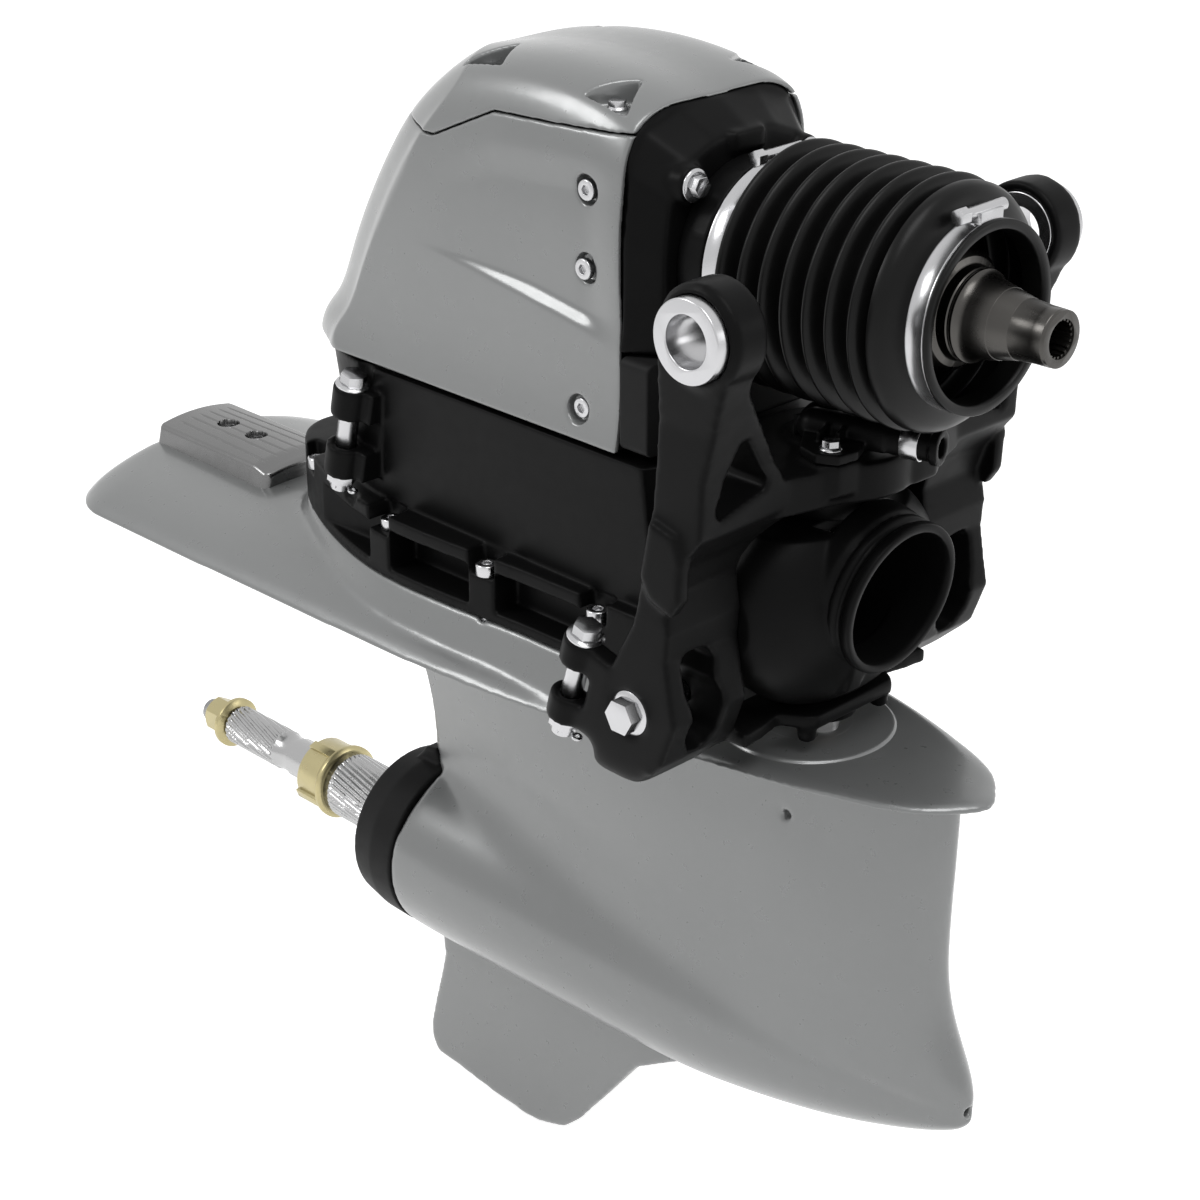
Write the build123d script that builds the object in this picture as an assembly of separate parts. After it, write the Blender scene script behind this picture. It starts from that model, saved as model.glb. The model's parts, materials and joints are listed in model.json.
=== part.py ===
from build123d import *
import math
import os

# Sterndrive: suspension fork, upper gear housing with its covers, intermediate housing and
# lower gear housing, with the double universal joint, bevel gears, cone clutch and the two
# counter-rotating propeller shafts inside.
# Millimetres. +X points forward to the boat, +Y to port, +Z up.
# The origin is where the input shaft axis crosses the plane of the tilt axis.

# Main axes
STEER_X = -36.0
TILT_Z = 7.0
SHAFT_X = -245.0
PROP_Z = -600.0

# Clearances
RUN = 0.05
SEAT = 0.02
PLAY = 0.3
SEAM = 0.8

# Tilt bushes and fork arms
BUSH_BORE = 17.1
BUSH_OUTER = 27.7
BUSH_FACE = 184.6
BOSS_RADIUS = 35.0
BOSS_FACE = 173.0
BOSS_INNER = 146.0
ARM_INNER = 97.0
PLATE_TOP = -303.0
PLATE_BOTTOM = -314.0
BRIDGE_TOP = -113.0
BRIDGE_BOTTOM = -141.0
BRIDGE_HUB = 58.0
BOSS_LIMIT = 176.0

# Trim cylinder pins in the fork
TRIM_X = -63.0
TRIM_Z = -276.0
TRIM_PIN = 8.0
TRIM_SEAT = 166.0
TRIM_END = 84.0

NUT_HEIGHT = 12.0
SLOT_HALF = 1.6
SLOT_TOP = 3.8
SPLIT_PIN = 1.3
SPLIT_REACH = 11.5

# Steering cylinder pins
CLEVIS_PIN = 8.0
CLEVIS_EAR = 15.0
CLEVIS_SLOT = 26.0
FRONT_PIN_TOP = (-112.5, -160.0, -238.0)
FRONT_PIN_LEAN = 16.3
FRONT_PIN_LENGTH = 70.0
AFT_PIN_TOP = (-424.0, -103.0, -152.0)
AFT_PIN_LEAN = 12.9
AFT_PIN_LENGTH = 78.0

# Steering pivots
KING_PIN = 16.0
KING_BUSH = 20.0
KING_HUB = 32.0
PIVOT_PIN = 14.0
PIVOT_BUSH = 18.0
PIVOT_HUB = 26.0
SWING_RADIUS = 98.5

ARM_SIDE = [(-33, 10), (-40, -60), (-46, -121), (-52, -160), (-60, -208), (-80, -245), (-106, -331),
            (-98, -336), (-61, -335), (-32, -306), (-20, -273), (-24, -255), (-29, -228), (-27, -207),
            (-31, -181), (-24, -160), (-3, -134), (-1, -97), (12, -50), (27, -10), (33, 10)]
ARM_FRONT = [(-173, 12), (-146, 12), (-144, -30), (-126, -54), (-84, -112), (-60, -113), (-60, -141),
             (-80, -150), (-97, -172), (-97, -340), (-160, -340), (-169, -326), (-168, -200),
             (-165, -121), (-167, -60), (-173, -20)]
ARM_WINDOW = [(-137, -70), (-131, -70), (-102, -107), (-103, -113), (-146, -124), (-150, -118)]
TRIM_SLOT = [(-153, -232), (-146, -226), (-128, -228), (-121, -238), (-124, -252), (-118, -264),
             (-118, -292), (-128, -304), (-142, -302), (-150, -288), (-148, -268), (-152, -254)]
BRIDGE_PLAN = [(-86, -70), (-70, -84), (-38, -100), (-8, -100), (2, -64), (14, -20), (20, 30), (20, 46),
               (6, 70), (-4, 100), (-38, 100), (-70, 84), (-86, 70)]
PAD_SIDE = [(-44, -128), (-20, -134), (-14, -150), (-16, -180), (-24, -192), (-44, -184), (-52, -170)]
FORK_PLATE = [(-60, -98), (-20, -98), (-22, -78), (-27, -56), (-10, -46), (-4, -40), (-4, 40), (-10, 46),
              (-27, 56), (-22, 78), (-20, 98), (-60, 98)]

# Exhaust ball and mouth
BALL_Z = -226.0
BALL_LONG = 58.0
BALL_WIDE = 100.0
BALL_TALL = 84.0
MOUTH_CENTRE = (32.3, 0.0, -214.9)
MOUTH_RADIUS = 56.0
MOUTH_BORE = 50.0
MOUTH_DROOP = 7.75
GROOVE_RADIUS = 52.5
EXHAUST_BORE = 44.0

# Water elbow on the bridge
ELBOW_TOP = -95.5
ELBOW_FLANGE = 7.0
ELBOW_BOSS = 26.0
ELBOW_PIPE = 10.5
ELBOW_BORE = 7.0
ELBOW_PLACE = (-36.0, -18.0, -101.0)
ELBOW_TURN = 17.0
ELBOW_LENGTH = 92.0
ELBOW_BAND = 65.0
ELBOW_PLAN = [(-60, 52), (-78, 44), (-78, 32), (-50, -10), (-20, -52), (-2, -57), (12, -49), (14, -32),
              (-8, 14), (-46, 50)]
ELBOW_BOLTS = [(0, -43), (-66, 40)]

# Bellows and clamps
BELLOWS_REAR = -98.0
BELLOWS_FRONT = 90.2
BELLOWS_CREST = 85.0
BELLOWS_ROOT = 72.0
BELLOWS_WALL = 3.0
BELLOWS_FOLDS = 7
REAR_CUFF = 66.0
FRONT_CUFF = 62.0
BAND_WIDTH = 13.0
BAND_THICK = 1.2

# Universal joint and coupling sleeve
AFT_CROSS_X = -50.0
FRONT_CROSS_X = 14.0
TRUNNION = 8.0
YOKE_EAR_IN = 21.0
YOKE_EAR_OUT = 34.0
YOKE_HALF = 15.0
YOKE_DRUM = 40.0
SLEEVE_END = 145.3
SLEEVE_RADIUS = 18.7
SLEEVE_CONE = 27.0
SLEEVE_BORE = 13.0
SPLINE_COUNT = 20

# Input shaft, gears and clutch
INPUT_SHAFT = 17.0
GEAR_MODULE = 3.6
INPUT_TEETH = 20
UPPER_TEETH = 25
UPPER_FACE = 17.0
LOWER_PINION_TEETH = 18
CROWN_TEETH = 28
LOWER_FACE = 16.0
TOOTH_SHARE = 0.42
MAIN_SHAFT = 14.0
CLUTCH_TRAVEL = 5.0
CLUTCH_GROOVE = 20.0
CLUTCH_COLLAR = 27.0
CLUTCH_HALF = 33.0
SEAT_WIDE = 26.0
SEAT_NARROW = 22.0
SEAT_NEAR = 27.0
SEAT_FAR = 42.0
SHIFT_SHAFT = 12.0
SHIFT_THROW = 10.0
SHIFT_PIN = 4.5

# Upper gear housing and covers
RIM_X = -148.0
FRONT_X = -114.0
COVER_BOTTOM = -133.0
COVER_WALL = 4.0
COVER_HALF = 98.0
COVER_NOSE = 122.0
CORE_AFT = -330.0
GEAR_CAVITY_TOP = 66.0
GEAR_CHAMBER = 54.0
GEAR_CHAMBER_HALF = 47.6
UPPER_HUB = 24.0
UPPER_BEARING = 42.0
UPPER_BEARING_END = 60.6
UPPER_TUNNEL = 22.0
CARRIER_FLANGE = 67.0
CARRIER_NECK = 62.5
CARRIER_BORE = 42.0
CARRIER_SEAT = 55.0
CREST = [(-148, 103), (-200, 117), (-250, 120), (-302, 116), (-340, 109), (-380, 98), (-425, 80),
         (-462, 60), (-530, 20)]
COWL_AFT = [(-145, -532), (-100, -510), (-60, -489), (-8, -462), (25, -441), (57, -416), (75, -397),
            (92, -375), (105, -355), (126, -320)]
TOP_SEAM = [(-100, 88), (-148, 88), (-275, 83), (-335, 56), (-560, 57)]
SIDE_SCREWS = [(-183, 46, -86.0), (-184, -9, -88.0), (-188, -111, -86.0)]
SCREW_POCKET = 10.5
TOP_BOLTS = [(-178.6, 65), (-305, 60)]
TOP_POCKET_FLOOR = 97.0
FRONT_RIM = [(-95, -131), (-94, 15), (-88, 62), (-70, 89), (-38, 99), (0, 102), (38, 99), (70, 89),
             (88, 62), (94, 15), (95, -131)]
FRONT_FACE = [(-78, -128), (-76, 8), (-72, 46), (-56, 70), (-30, 80), (0, 84), (30, 80), (56, 70),
              (72, 46), (76, 8), (78, -128)]
FRONT_BOLTS = [(-57, 56.6), (57, 56.6)]

# Intermediate housing
MID_TOP = -137.0
MID_HALF = 95.0
MID_FOOT = 84.0
MID_SIDE = [(-110, 66), (-125, MID_HALF)]
MID_AFT = [(-400, MID_HALF), (-460, 85), (-490, 68), (-512, 40), (-522, 0)]
MID_FOOT_SIDE = [(-110, 66), (-120, MID_FOOT)]
MID_FOOT_AFT = [(-390, MID_FOOT - 2), (-455, 72), (-486, 56), (-508, 32), (-518, 0)]
FLANGE_SIDE = [(-110, 66), (-125, 96)]
FLANGE_AFT = [(-242, 98), (-345, 104), (-415, 101), (-480, 84), (-546, 55), (-583, 24), (-590, 0)]
FLANGE_SCREWS = [(-171, 91), (-286, 94), (-402, 88), (-541, 49)]
SHELF_Z = -250.0
FLANGE_Z = -303.0
FLANGE_LIP = 9.0
POST_TOP = -268.0
POST_WIDE = 26.0
POCKET_WALL = 76.0
FLANGE_SCREW = 5.0
SCREW_HEAD = 8.5
SCREW_HEAD_HEIGHT = 9.0

# Lower gear housing
CAV_BOTTOM = -345.0
PAD_TOP = -337.5
TORPEDO_AFT = -439.0
TORPEDO_MAX = 75.0
NOSE_X = 121.0
RING_AFT = -491.0
LOWER_CAVITY = 57.0
CARRIER_OUTER = 60.0
LOWER_TUNNEL = 21.0
PINION_CHAMBER = 39.0
PINION_BEARING = 33.0
FRONT_BEARING = 45.0
REAR_BEARING = 52.0
FRONT_HUB = 27.0
REAR_HUB = 38.0
SEAL_OUTER = 42.0
PLATE_PLAN = [(118, 0), (110, 17), (89, 40), (47, 60), (0, 75), (-60, 89), (-149, 110), (-308, 132),
              (-453, 136), (-585, 138), (-740, 139)]
CROWNS = [(125, -338.5, -340), (-36, -338, -340), (-150, -337.5, -339.5), (-250, -328, -338.5),
          (-450, -315, -337), (-800, -312, -338)]
TORPEDO = [(NOSE_X, 0.1), (117, 7), (105, 15), (67, 30), (24, 43), (-20, 53), (-66, 61), (-112, 67),
           (-160, 70), (-259, 73.3), (-358, 75), (TORPEDO_AFT, TORPEDO_MAX)]
STRUT = [(-342, 91, -520, 46, 10), (-400, 90.5, -485, 45, 7), (-450, 89, -464, 45, 6),
         (-500, 91, -455, 46, 6), (-540, 102, -452, 50, 8), (-575, 117, -446, 50, 10),
         (-600, 119, -438, 30, 8)]
SKEG_SIDE = [(-60, -640), (-152, -681), (-214, -719.5), (-286, -812), (-304, -829), (-336, -838.6),
             (-468, -830.6), (-478, -818), (-478, -805), (-470, -775), (-460, -740), (-455, -720),
             (-457, -700), (-463, -680), (-463, -640)]
ANODE_SCREWS = (-690, -730)

# Propeller shafts
OUTER_SHAFT = 29.6
OUTER_BORE = 19.2
INNER_SHAFT = 18.3
OUTER_FRONT = -284.0
OUTER_NUT_X = -584.0
OUTER_NUT_END = -618.0
OUTER_NUT_FLANGE = 34.1
INNER_NUT_X = -747.0
INNER_NUT_FLANGE = 23.6
INNER_END = -786.0

AXES = {"X": (1, 0, 0), "Y": (0, 1, 0), "Z": (0, 0, 1)}


# Helpers for round, flat and turned pieces

def spot(axis, along, across):
    """Point with its place along the named axis and the two other coordinates in order."""
    a, b = across
    places = {"X": (along, a, b), "Y": (a, along, b), "Z": (a, b, along)}
    return places[axis]


def rod(axis, radius, start, end, across=(0.0, 0.0)):
    """Solid cylinder along a main axis between two coordinates."""
    low, high = min(start, end), max(start, end)
    plane = Plane(origin=spot(axis, low, across), z_dir=AXES[axis])
    return plane * Cylinder(radius, high - low, align=(Align.CENTER, Align.CENTER, Align.MIN))


def tube(axis, outer, inner, start, end, across=(0.0, 0.0)):
    """Ring or tube along a main axis."""
    return rod(axis, outer, start, end, across) - rod(axis, inner, start, end, across)


def box(x0, x1, y0, y1, z0, z1):
    """Block between two corners."""
    middle = ((x0 + x1) / 2, (y0 + y1) / 2, (z0 + z1) / 2)
    return Pos(*middle) * Box(abs(x1 - x0), abs(y1 - y0), abs(z1 - z0))


def slab(axis, outline, start, end):
    """Flat outline in the plane across an axis, pulled from one coordinate to another."""
    points = [spot(axis, start, pair) for pair in outline]
    face = make_face(Polyline(*points, close=True))
    return extrude(face, amount=end - start, dir=AXES[axis])


def turned(axis, profile, across=(0.0, 0.0)):
    """Solid of revolution about a main axis from (along, radius) points."""
    a, b = across
    offsets = {"X": lambda s, r: (s, a, b + r), "Y": lambda s, r: (a, s, b + r),
               "Z": lambda s, r: (a + r, b, s)}
    points = [offsets[axis](s, r) for s, r in profile]
    face = make_face(Polyline(*points, close=True))
    return revolve(face, axis=Axis(spot(axis, 0.0, across), AXES[axis]))


def hexagon(axis, flats, start, end, across=(0.0, 0.0)):
    """Hexagonal prism along a main axis, given by its size across flats."""
    low, high = min(start, end), max(start, end)
    plane = Plane(origin=spot(axis, low, across), z_dir=AXES[axis])
    return extrude(plane * RegularPolygon(flats / math.sqrt(3), 6), amount=high - low)


def mirrored(shape):
    """The same piece on the other side of the centre plane."""
    return mirror(shape, about=Plane.XZ)


def both(shape):
    """A piece and its mirror image as separate solids of one node."""
    return [shape, mirrored(shape)]


def tilted(origin, lean):
    """Frame whose Z axis leans back from vertical by an angle about Y, downwards positive."""
    angle = math.radians(lean)
    up = (math.sin(angle), 0.0, math.cos(angle))
    return Plane(origin=origin, x_dir=(math.cos(angle), 0.0, -math.sin(angle)), z_dir=up)


# Bevel gears: straight teeth that all run to the apex of the pitch cone

def bevel_angle(teeth, mate):
    """Half-angle of the pitch cone of a bevel gear whose axis is square to its mate's."""
    return math.atan2(teeth, mate)


def cone_distance(teeth, mate):
    """Length of the pitch cone from its apex to the large end of the teeth."""
    return GEAR_MODULE / 2 * math.hypot(teeth, mate)


def small_end(teeth, mate, face):
    """Size of the inner end of a bevel gear as a share of its outer end."""
    length = cone_distance(teeth, mate)
    return (length - face) / length


def input_shaft_end():
    """Place where the input shaft ends in its pinion."""
    return SHAFT_X + GEAR_MODULE * UPPER_TEETH / 2 * small_end(INPUT_TEETH, UPPER_TEETH, UPPER_FACE) + 1.0


def lower_shaft_end():
    """Height where the lower shaft ends in its pinion."""
    share = small_end(LOWER_PINION_TEETH, CROWN_TEETH, LOWER_FACE)
    return PROP_Z + GEAR_MODULE * CROWN_TEETH / 2 * share + 1.5


def bevel_tooth(teeth, mate, face, angle):
    """One tooth as a block that tapers towards the apex, sunk a little into the blank."""
    cone = bevel_angle(teeth, mate)
    length = cone_distance(teeth, mate)
    turn = (math.cos(angle), math.sin(angle))
    along = Vector(math.sin(cone) * turn[0], math.sin(cone) * turn[1], math.cos(cone))
    out = Vector(math.cos(cone) * turn[0], math.cos(cone) * turn[1], -math.sin(cone))
    side = Vector(-turn[1], turn[0], 0)
    tip = 0.85 * GEAR_MODULE
    root = 1.2 * GEAR_MODULE
    half = TOOTH_SHARE * math.pi * GEAR_MODULE / 2
    slope = math.tan(math.radians(20))
    corners = [(tip, half - tip * slope), (tip, tip * slope - half),
               (-root, -half - root * slope), (-root, half + root * slope)]
    ends = []
    for reach in (length, length - face):
        scale = reach / length
        points = [along * reach + out * (h * scale) + side * (w * scale) for h, w in corners]
        ends.append(make_face(Polyline(*points, close=True)))
    return loft(ends, ruled=True)


def bevel_gear(teeth, mate, face, bore, backing, hub, hub_length, phase):
    """Bevel gear with its apex at the origin and its back towards +Z."""
    cone = bevel_angle(teeth, mate)
    length = cone_distance(teeth, mate)
    root = GEAR_MODULE * 1.1
    inner = (length - face) / length
    large = (length * math.cos(cone) + root * math.sin(cone),
             length * math.sin(cone) - root * math.cos(cone))
    small = (large[0] * inner, large[1] * inner)
    back = large[0] + backing
    profile = [(small[0], bore), small, large, (back, large[1]), (back, hub),
               (back + hub_length, hub), (back + hub_length, bore)]
    blank = turned("Z", profile)
    step = 2 * math.pi / teeth
    cogs = [bevel_tooth(teeth, mate, face, phase + n * step) for n in range(teeth)]
    return blank + cogs


# Fasteners

def hex_bolt(flats, washer, shank, head, length):
    """Flange bolt standing on the plane z=0 with its shank hanging below."""
    cap = extrude(RegularPolygon(flats / math.sqrt(3), 6), amount=head)
    collar = turned("Z", [(0, 0), (0, washer), (1.2, washer), (2.6, washer * 0.82), (2.6, 0)])
    return cap + collar + rod("Z", shank, -length, 0.5)


def cap_screw(radius, height, shank, length):
    """Round-headed socket screw standing on the plane z=0."""
    head = rod("Z", radius, 0, height)
    head = chamfer(head.edges().group_by(Axis.Z)[-1], 0.8)
    socket = extrude(Pos(0, 0, height - 3.0) * RegularPolygon(radius * 0.5, 6), amount=4.0)
    return head + rod("Z", shank, -length, 0.5) - socket


def castle_nut(flats, height, bore):
    """Slotted nut under the plane z=0 with a round crown."""
    lower = height * 0.62
    nut = extrude(Pos(0, 0, -lower) * RegularPolygon(flats / math.sqrt(3), 6), amount=lower)
    crown = rod("Z", flats * 0.44, -height, -lower + 0.2)
    slot = box(-flats, flats, -SLOT_HALF, SLOT_HALF, -height - 1, SLOT_TOP - height)
    for n in range(3):
        crown -= Rot(0, 0, 60 * n) * slot
    return nut + crown - rod("Z", bore, -height - 1, 1)


def split_bore(height):
    """Cross bore for the split pin of a nut that ends at this height."""
    return Pos(0, 0, SLOT_TOP / 2 - height) * rod("X", SPLIT_PIN + RUN, -12, 12)


def split_pin(height):
    """Split pin lying along X in the slots of a nut of this height, with its round eye in front."""
    legs = rod("X", SPLIT_PIN, -SPLIT_REACH, SPLIT_REACH)
    eye = Pos(SPLIT_REACH + SPLIT_PIN * 2, 0, 0) * Torus(SPLIT_PIN * 2.2, SPLIT_PIN)
    return Pos(0, 0, SLOT_TOP / 2 - height) * (legs + eye)


# Suspension fork

def fork_arm():
    """Starboard arm: the side outline crossed with the front outline, with its open window."""
    side = slab("Y", ARM_SIDE, -BOSS_FACE, -60)
    front = slab("X", ARM_FRONT, -130, 40)
    arm = side & front
    arm -= slab("X", ARM_WINDOW, -130, 40)
    arm += slab("Y", PAD_SIDE, -171, -160)
    boss = rod("Y", BOSS_RADIUS, -BOSS_FACE, -BOSS_INNER, (0, TILT_Z))
    boss += rod("Y", BOSS_RADIUS - 3.5, -BOSS_LIMIT, -BOSS_INNER, (0, TILT_Z))
    return arm + boss


def fork_clevis():
    """Ears for the front end of the starboard steering cylinder."""
    frame = tilted(FRONT_PIN_TOP, FRONT_PIN_LEAN)
    body = rod("Z", CLEVIS_EAR, -FRONT_PIN_LENGTH, 0)
    body += box(0, 34, -9, CLEVIS_EAR, -FRONT_PIN_LENGTH, 0)
    middle = -FRONT_PIN_LENGTH / 2
    gap = CLEVIS_SLOT / 2
    body -= box(-40, 18, -40, 40, middle - gap, middle + gap)
    return frame * body


def fork_pin_bore():
    """Bore for the starboard steering cylinder pin."""
    return tilted(FRONT_PIN_TOP, FRONT_PIN_LEAN) * rod("Z", CLEVIS_PIN + RUN, -FRONT_PIN_LENGTH - 5, 5)


def fork_bridge():
    """Saddle between the arms, with the round hub that takes the upper steering pivot."""
    bridge = slab("Z", BRIDGE_PLAN, BRIDGE_BOTTOM, BRIDGE_TOP)
    bridge += rod("Z", BRIDGE_HUB, BRIDGE_BOTTOM, BRIDGE_TOP, (STEER_X, 0))
    bridge += rod("Z", KING_HUB, BRIDGE_BOTTOM, BRIDGE_TOP + 4, (STEER_X, 0))
    return bridge + slab("Z", ELBOW_PLAN, BRIDGE_BOTTOM + 8, BRIDGE_TOP + 4)


def fork_plate():
    """Plate under the exhaust ball that takes the lower steering pivot."""
    plate = slab("Z", FORK_PLATE, PLATE_BOTTOM, PLATE_TOP)
    plate += rod("Z", PIVOT_HUB, PLATE_BOTTOM - 9, PLATE_TOP, (STEER_X, 0))
    foot = rod("Z", 7, PLATE_BOTTOM - 12, PLATE_BOTTOM + 1, (-15, -39))
    return plate + both(foot)


def suspension_fork():
    """One casting that hangs the drive from the tilt axis."""
    half = fork_arm() + fork_clevis()
    fork = half + mirrored(half) + fork_bridge() + fork_plate()
    for side in (-1, 1):
        fork -= rod("Y", BUSH_OUTER + SEAT, side * 130, side * 190, (0, TILT_Z))
    slot = slab("X", TRIM_SLOT, -130, 10)
    trim = rod("Y", TRIM_PIN + RUN, -190, -80, (TRIM_X, TRIM_Z))
    seat = rod("Y", 17.5, -190, -TRIM_SEAT, (TRIM_X, TRIM_Z))
    swing = box(-160, -80, -150, -80, -345, -205)
    for cut in (slot, trim, seat, swing, fork_pin_bore()):
        fork -= cut
        fork -= mirrored(cut)
    fork -= rod("Z", KING_BUSH + SEAT, BRIDGE_BOTTOM - 1, BRIDGE_TOP - 6, (STEER_X, 0))
    fork -= rod("Z", 9, BRIDGE_BOTTOM - 1, BRIDGE_TOP + 10, (STEER_X, 0))
    fork -= rod("Z", PIVOT_BUSH + SEAT, PLATE_BOTTOM - 12, PLATE_TOP + 1, (STEER_X, 0))
    fork -= elbow_bolt_bores()
    fork -= ball_shape(PLAY)
    return fork


def tilt_bush(side):
    """Plain flanged bush in one boss of the fork."""
    start = side * (BOSS_INNER + 1)
    bush = tube("Y", BUSH_OUTER, BUSH_BORE, start, side * BUSH_FACE, (0, TILT_Z))
    return chamfer(bush.edges().filter_by(GeomType.CIRCLE), 0.8)


# Exhaust ball

def ball_shape(growth):
    """Outer form of the ball part, grown by a clearance."""
    sizes = (BALL_LONG + growth, BALL_WIDE + growth, BALL_TALL + growth)
    ball = Pos(STEER_X, 0, BALL_Z) * scale(Sphere(1), by=sizes)
    reach = ARM_INNER - PLAY + growth
    floor, roof = PLATE_TOP + PLAY - growth, BRIDGE_BOTTOM - 26 + growth
    limit = box(STEER_X - 100, 60, -reach, reach, floor, roof)
    return ball & limit


def mouth_frame():
    """Frame on the lip of the mouth with Z pointing out of it."""
    angle = math.radians(MOUTH_DROOP)
    return Plane(origin=MOUTH_CENTRE, x_dir=(0, 1, 0), z_dir=(math.cos(angle), 0, -math.sin(angle)))


def exhaust_duct():
    """Ball and mouth that carry exhaust from the transom into the drive."""
    ring = MOUTH_RADIUS - 0.5
    neck = turned("Z", [(-60, 0), (-60, MOUTH_RADIUS + 4), (-24, MOUTH_RADIUS + 1),
                        (-20, GROOVE_RADIUS + 1), (-18, ring), (-14, ring), (-12, GROOVE_RADIUS),
                        (-9, GROOVE_RADIUS), (-7, MOUTH_RADIUS), (0, MOUTH_RADIUS), (0, 0)])
    neck_rear = box(STEER_X + KING_HUB + 1.5, 80, -90, 90, -300, -140)
    duct = ball_shape(0) + ((mouth_frame() * neck) & neck_rear)
    duct -= mouth_frame() * rod("Z", MOUTH_BORE, -62, 5)
    duct -= rod("X", EXHAUST_BORE, STEER_X - 90, STEER_X + 30, (0, BALL_Z + 4))
    lug = slab("Y", [(-12, -300), (4, -262), (16, -258), (8, -286)], -26, -10)
    duct += (lug - mouth_frame() * rod("Z", MOUTH_BORE + 2, -70, 5))
    return duct


# Water elbow

def elbow_bolt_bores():
    """Bores for the elbow bolts in the bridge."""
    low, high = BRIDGE_BOTTOM + 4, BRIDGE_TOP + 30
    return [rod("Z", 4 + RUN, low, high, place) for place in ELBOW_BOLTS]


def elbow_pipe_frame():
    """Frame at the root of the elbow's pipe with X along the pipe, which slants to port."""
    angle = math.radians(ELBOW_TURN)
    return Plane(origin=ELBOW_PLACE, x_dir=(math.cos(angle), math.sin(angle), 0), z_dir=(0, 0, 1))


def water_elbow():
    """Cast elbow that brings cooling water from the hose into the hollow upper pivot."""
    base = BRIDGE_TOP + 4
    flange = slab("Z", ELBOW_PLAN, base, base + ELBOW_FLANGE)
    room = box(STEER_X - 40, 80, -60, 60, base, ELBOW_TOP + 8)
    dome = Pos(STEER_X, 0, base - 4) * Sphere(ELBOW_BOSS) & room
    frame = elbow_pipe_frame()
    pipe = frame * (rod("X", ELBOW_PIPE + 1.5, 0, ELBOW_BAND - 10) + Sphere(ELBOW_PIPE + 1.5))
    pipe = (pipe & room) + frame * rod("X", ELBOW_PIPE, 2, ELBOW_LENGTH)
    pipe += frame * rod("X", ELBOW_PIPE + 2, ELBOW_LENGTH - 6, ELBOW_LENGTH)
    pipe -= box(-200, 20, -90, 90, -200, base)
    ribs = [Pos(x, y, 0) * Rot(0, 0, turn) * box(-1.5, 1.5, -19, 19, base, base + 15)
            for x, y, turn in ((-20, -22, ELBOW_TURN), (-38, -10, -30), (-10, -14, ELBOW_TURN))]
    elbow = flange + dome + pipe + ribs
    elbow -= frame * rod("X", ELBOW_BORE, 4, ELBOW_LENGTH + 1)
    elbow -= rod("Z", 8, base - 1, base + 6, (STEER_X, 0))
    elbow -= rod("Y", 6, ELBOW_PLACE[1], 4, (STEER_X, ELBOW_PLACE[2]))
    seat = base + ELBOW_FLANGE
    for place in ELBOW_BOLTS:
        elbow -= rod("Z", 9, seat, seat + 30, place)
        elbow -= rod("Z", 4 + RUN, base - 1, base + 30, place)
    return elbow


def hose_clamp():
    """Steel band on the hose end of the water elbow."""
    band = tube("X", ELBOW_PIPE + BAND_THICK, ELBOW_PIPE + SEAT, ELBOW_BAND, ELBOW_BAND + BAND_WIDTH)
    return elbow_pipe_frame() * band


def elbow_bolts():
    """Two flange bolts that hold the elbow on the bridge."""
    seat = BRIDGE_TOP + 4 + ELBOW_FLANGE
    return [Pos(x, y, seat) * hex_bolt(11, 8, 4, 7, 20) for x, y in ELBOW_BOLTS]


# Pins, bolts and nuts in the fork

def trim_pin():
    """Hex-headed pin for the lower end of the starboard trim cylinder."""
    frame = Plane(origin=(TRIM_X, -TRIM_SEAT, TRIM_Z), x_dir=(1, 0, 0), z_dir=(0, -1, 0))
    pin = frame * hex_bolt(22, 16, TRIM_PIN, 12, TRIM_SEAT - TRIM_END)
    return pin - trim_nut_frame() * split_bore(NUT_HEIGHT)


def trim_nut_frame():
    """Frame on the inner face of the starboard arm, with Z pointing into the arm."""
    return Plane(origin=(TRIM_X, -ARM_INNER + SEAT, TRIM_Z), x_dir=(1, 0, 0), z_dir=(0, -1, 0))


def trim_nut():
    """Slotted nut on the inner end of the starboard trim pin."""
    return trim_nut_frame() * castle_nut(20, NUT_HEIGHT, TRIM_PIN + RUN)


def trim_split_pin():
    """Split pin through the slotted nut and the starboard trim pin."""
    return trim_nut_frame() * split_pin(NUT_HEIGHT)


def clevis_bolt(top, lean, length):
    """Flange bolt through a steering clevis."""
    bolt = hex_bolt(18, 13.5, CLEVIS_PIN, 10, length + 14)
    return tilted(top, lean) * (bolt - split_bore(length + NUT_HEIGHT))


def clevis_nut(top, lean, length):
    """Slotted nut under a steering clevis."""
    return tilted(top, lean) * (Pos(0, 0, -length) * castle_nut(20, NUT_HEIGHT, CLEVIS_PIN + RUN))


def clevis_split_pin(top, lean, length):
    """Split pin through the nut and the bolt of a steering clevis."""
    return tilted(top, lean) * (Pos(0, 0, -length) * split_pin(NUT_HEIGHT))


def clevis_nuts(*place):
    """Nuts and split pins of one clevis and its mirror image."""
    return both(clevis_nut(*place)) + both(clevis_split_pin(*place))


# Steering pivots

def upper_pivot():
    """Hollow pin on the drive that turns in the bridge and carries the cooling water."""
    return tube("Z", KING_PIN, 8, MID_TOP - 27, BRIDGE_TOP - 7, (STEER_X, 0))


def upper_pivot_bush():
    """Bush in the bridge for the upper pivot."""
    return tube("Z", KING_BUSH, KING_PIN + RUN, BRIDGE_BOTTOM + 0.5, BRIDGE_TOP - 6.5, (STEER_X, 0))


def lower_pivot():
    """Pin in the lower gear housing that turns in the plate of the fork."""
    return rod("Z", PIVOT_PIN, PAD_TOP - 20, PLATE_TOP - 1, (STEER_X, 0))


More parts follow.
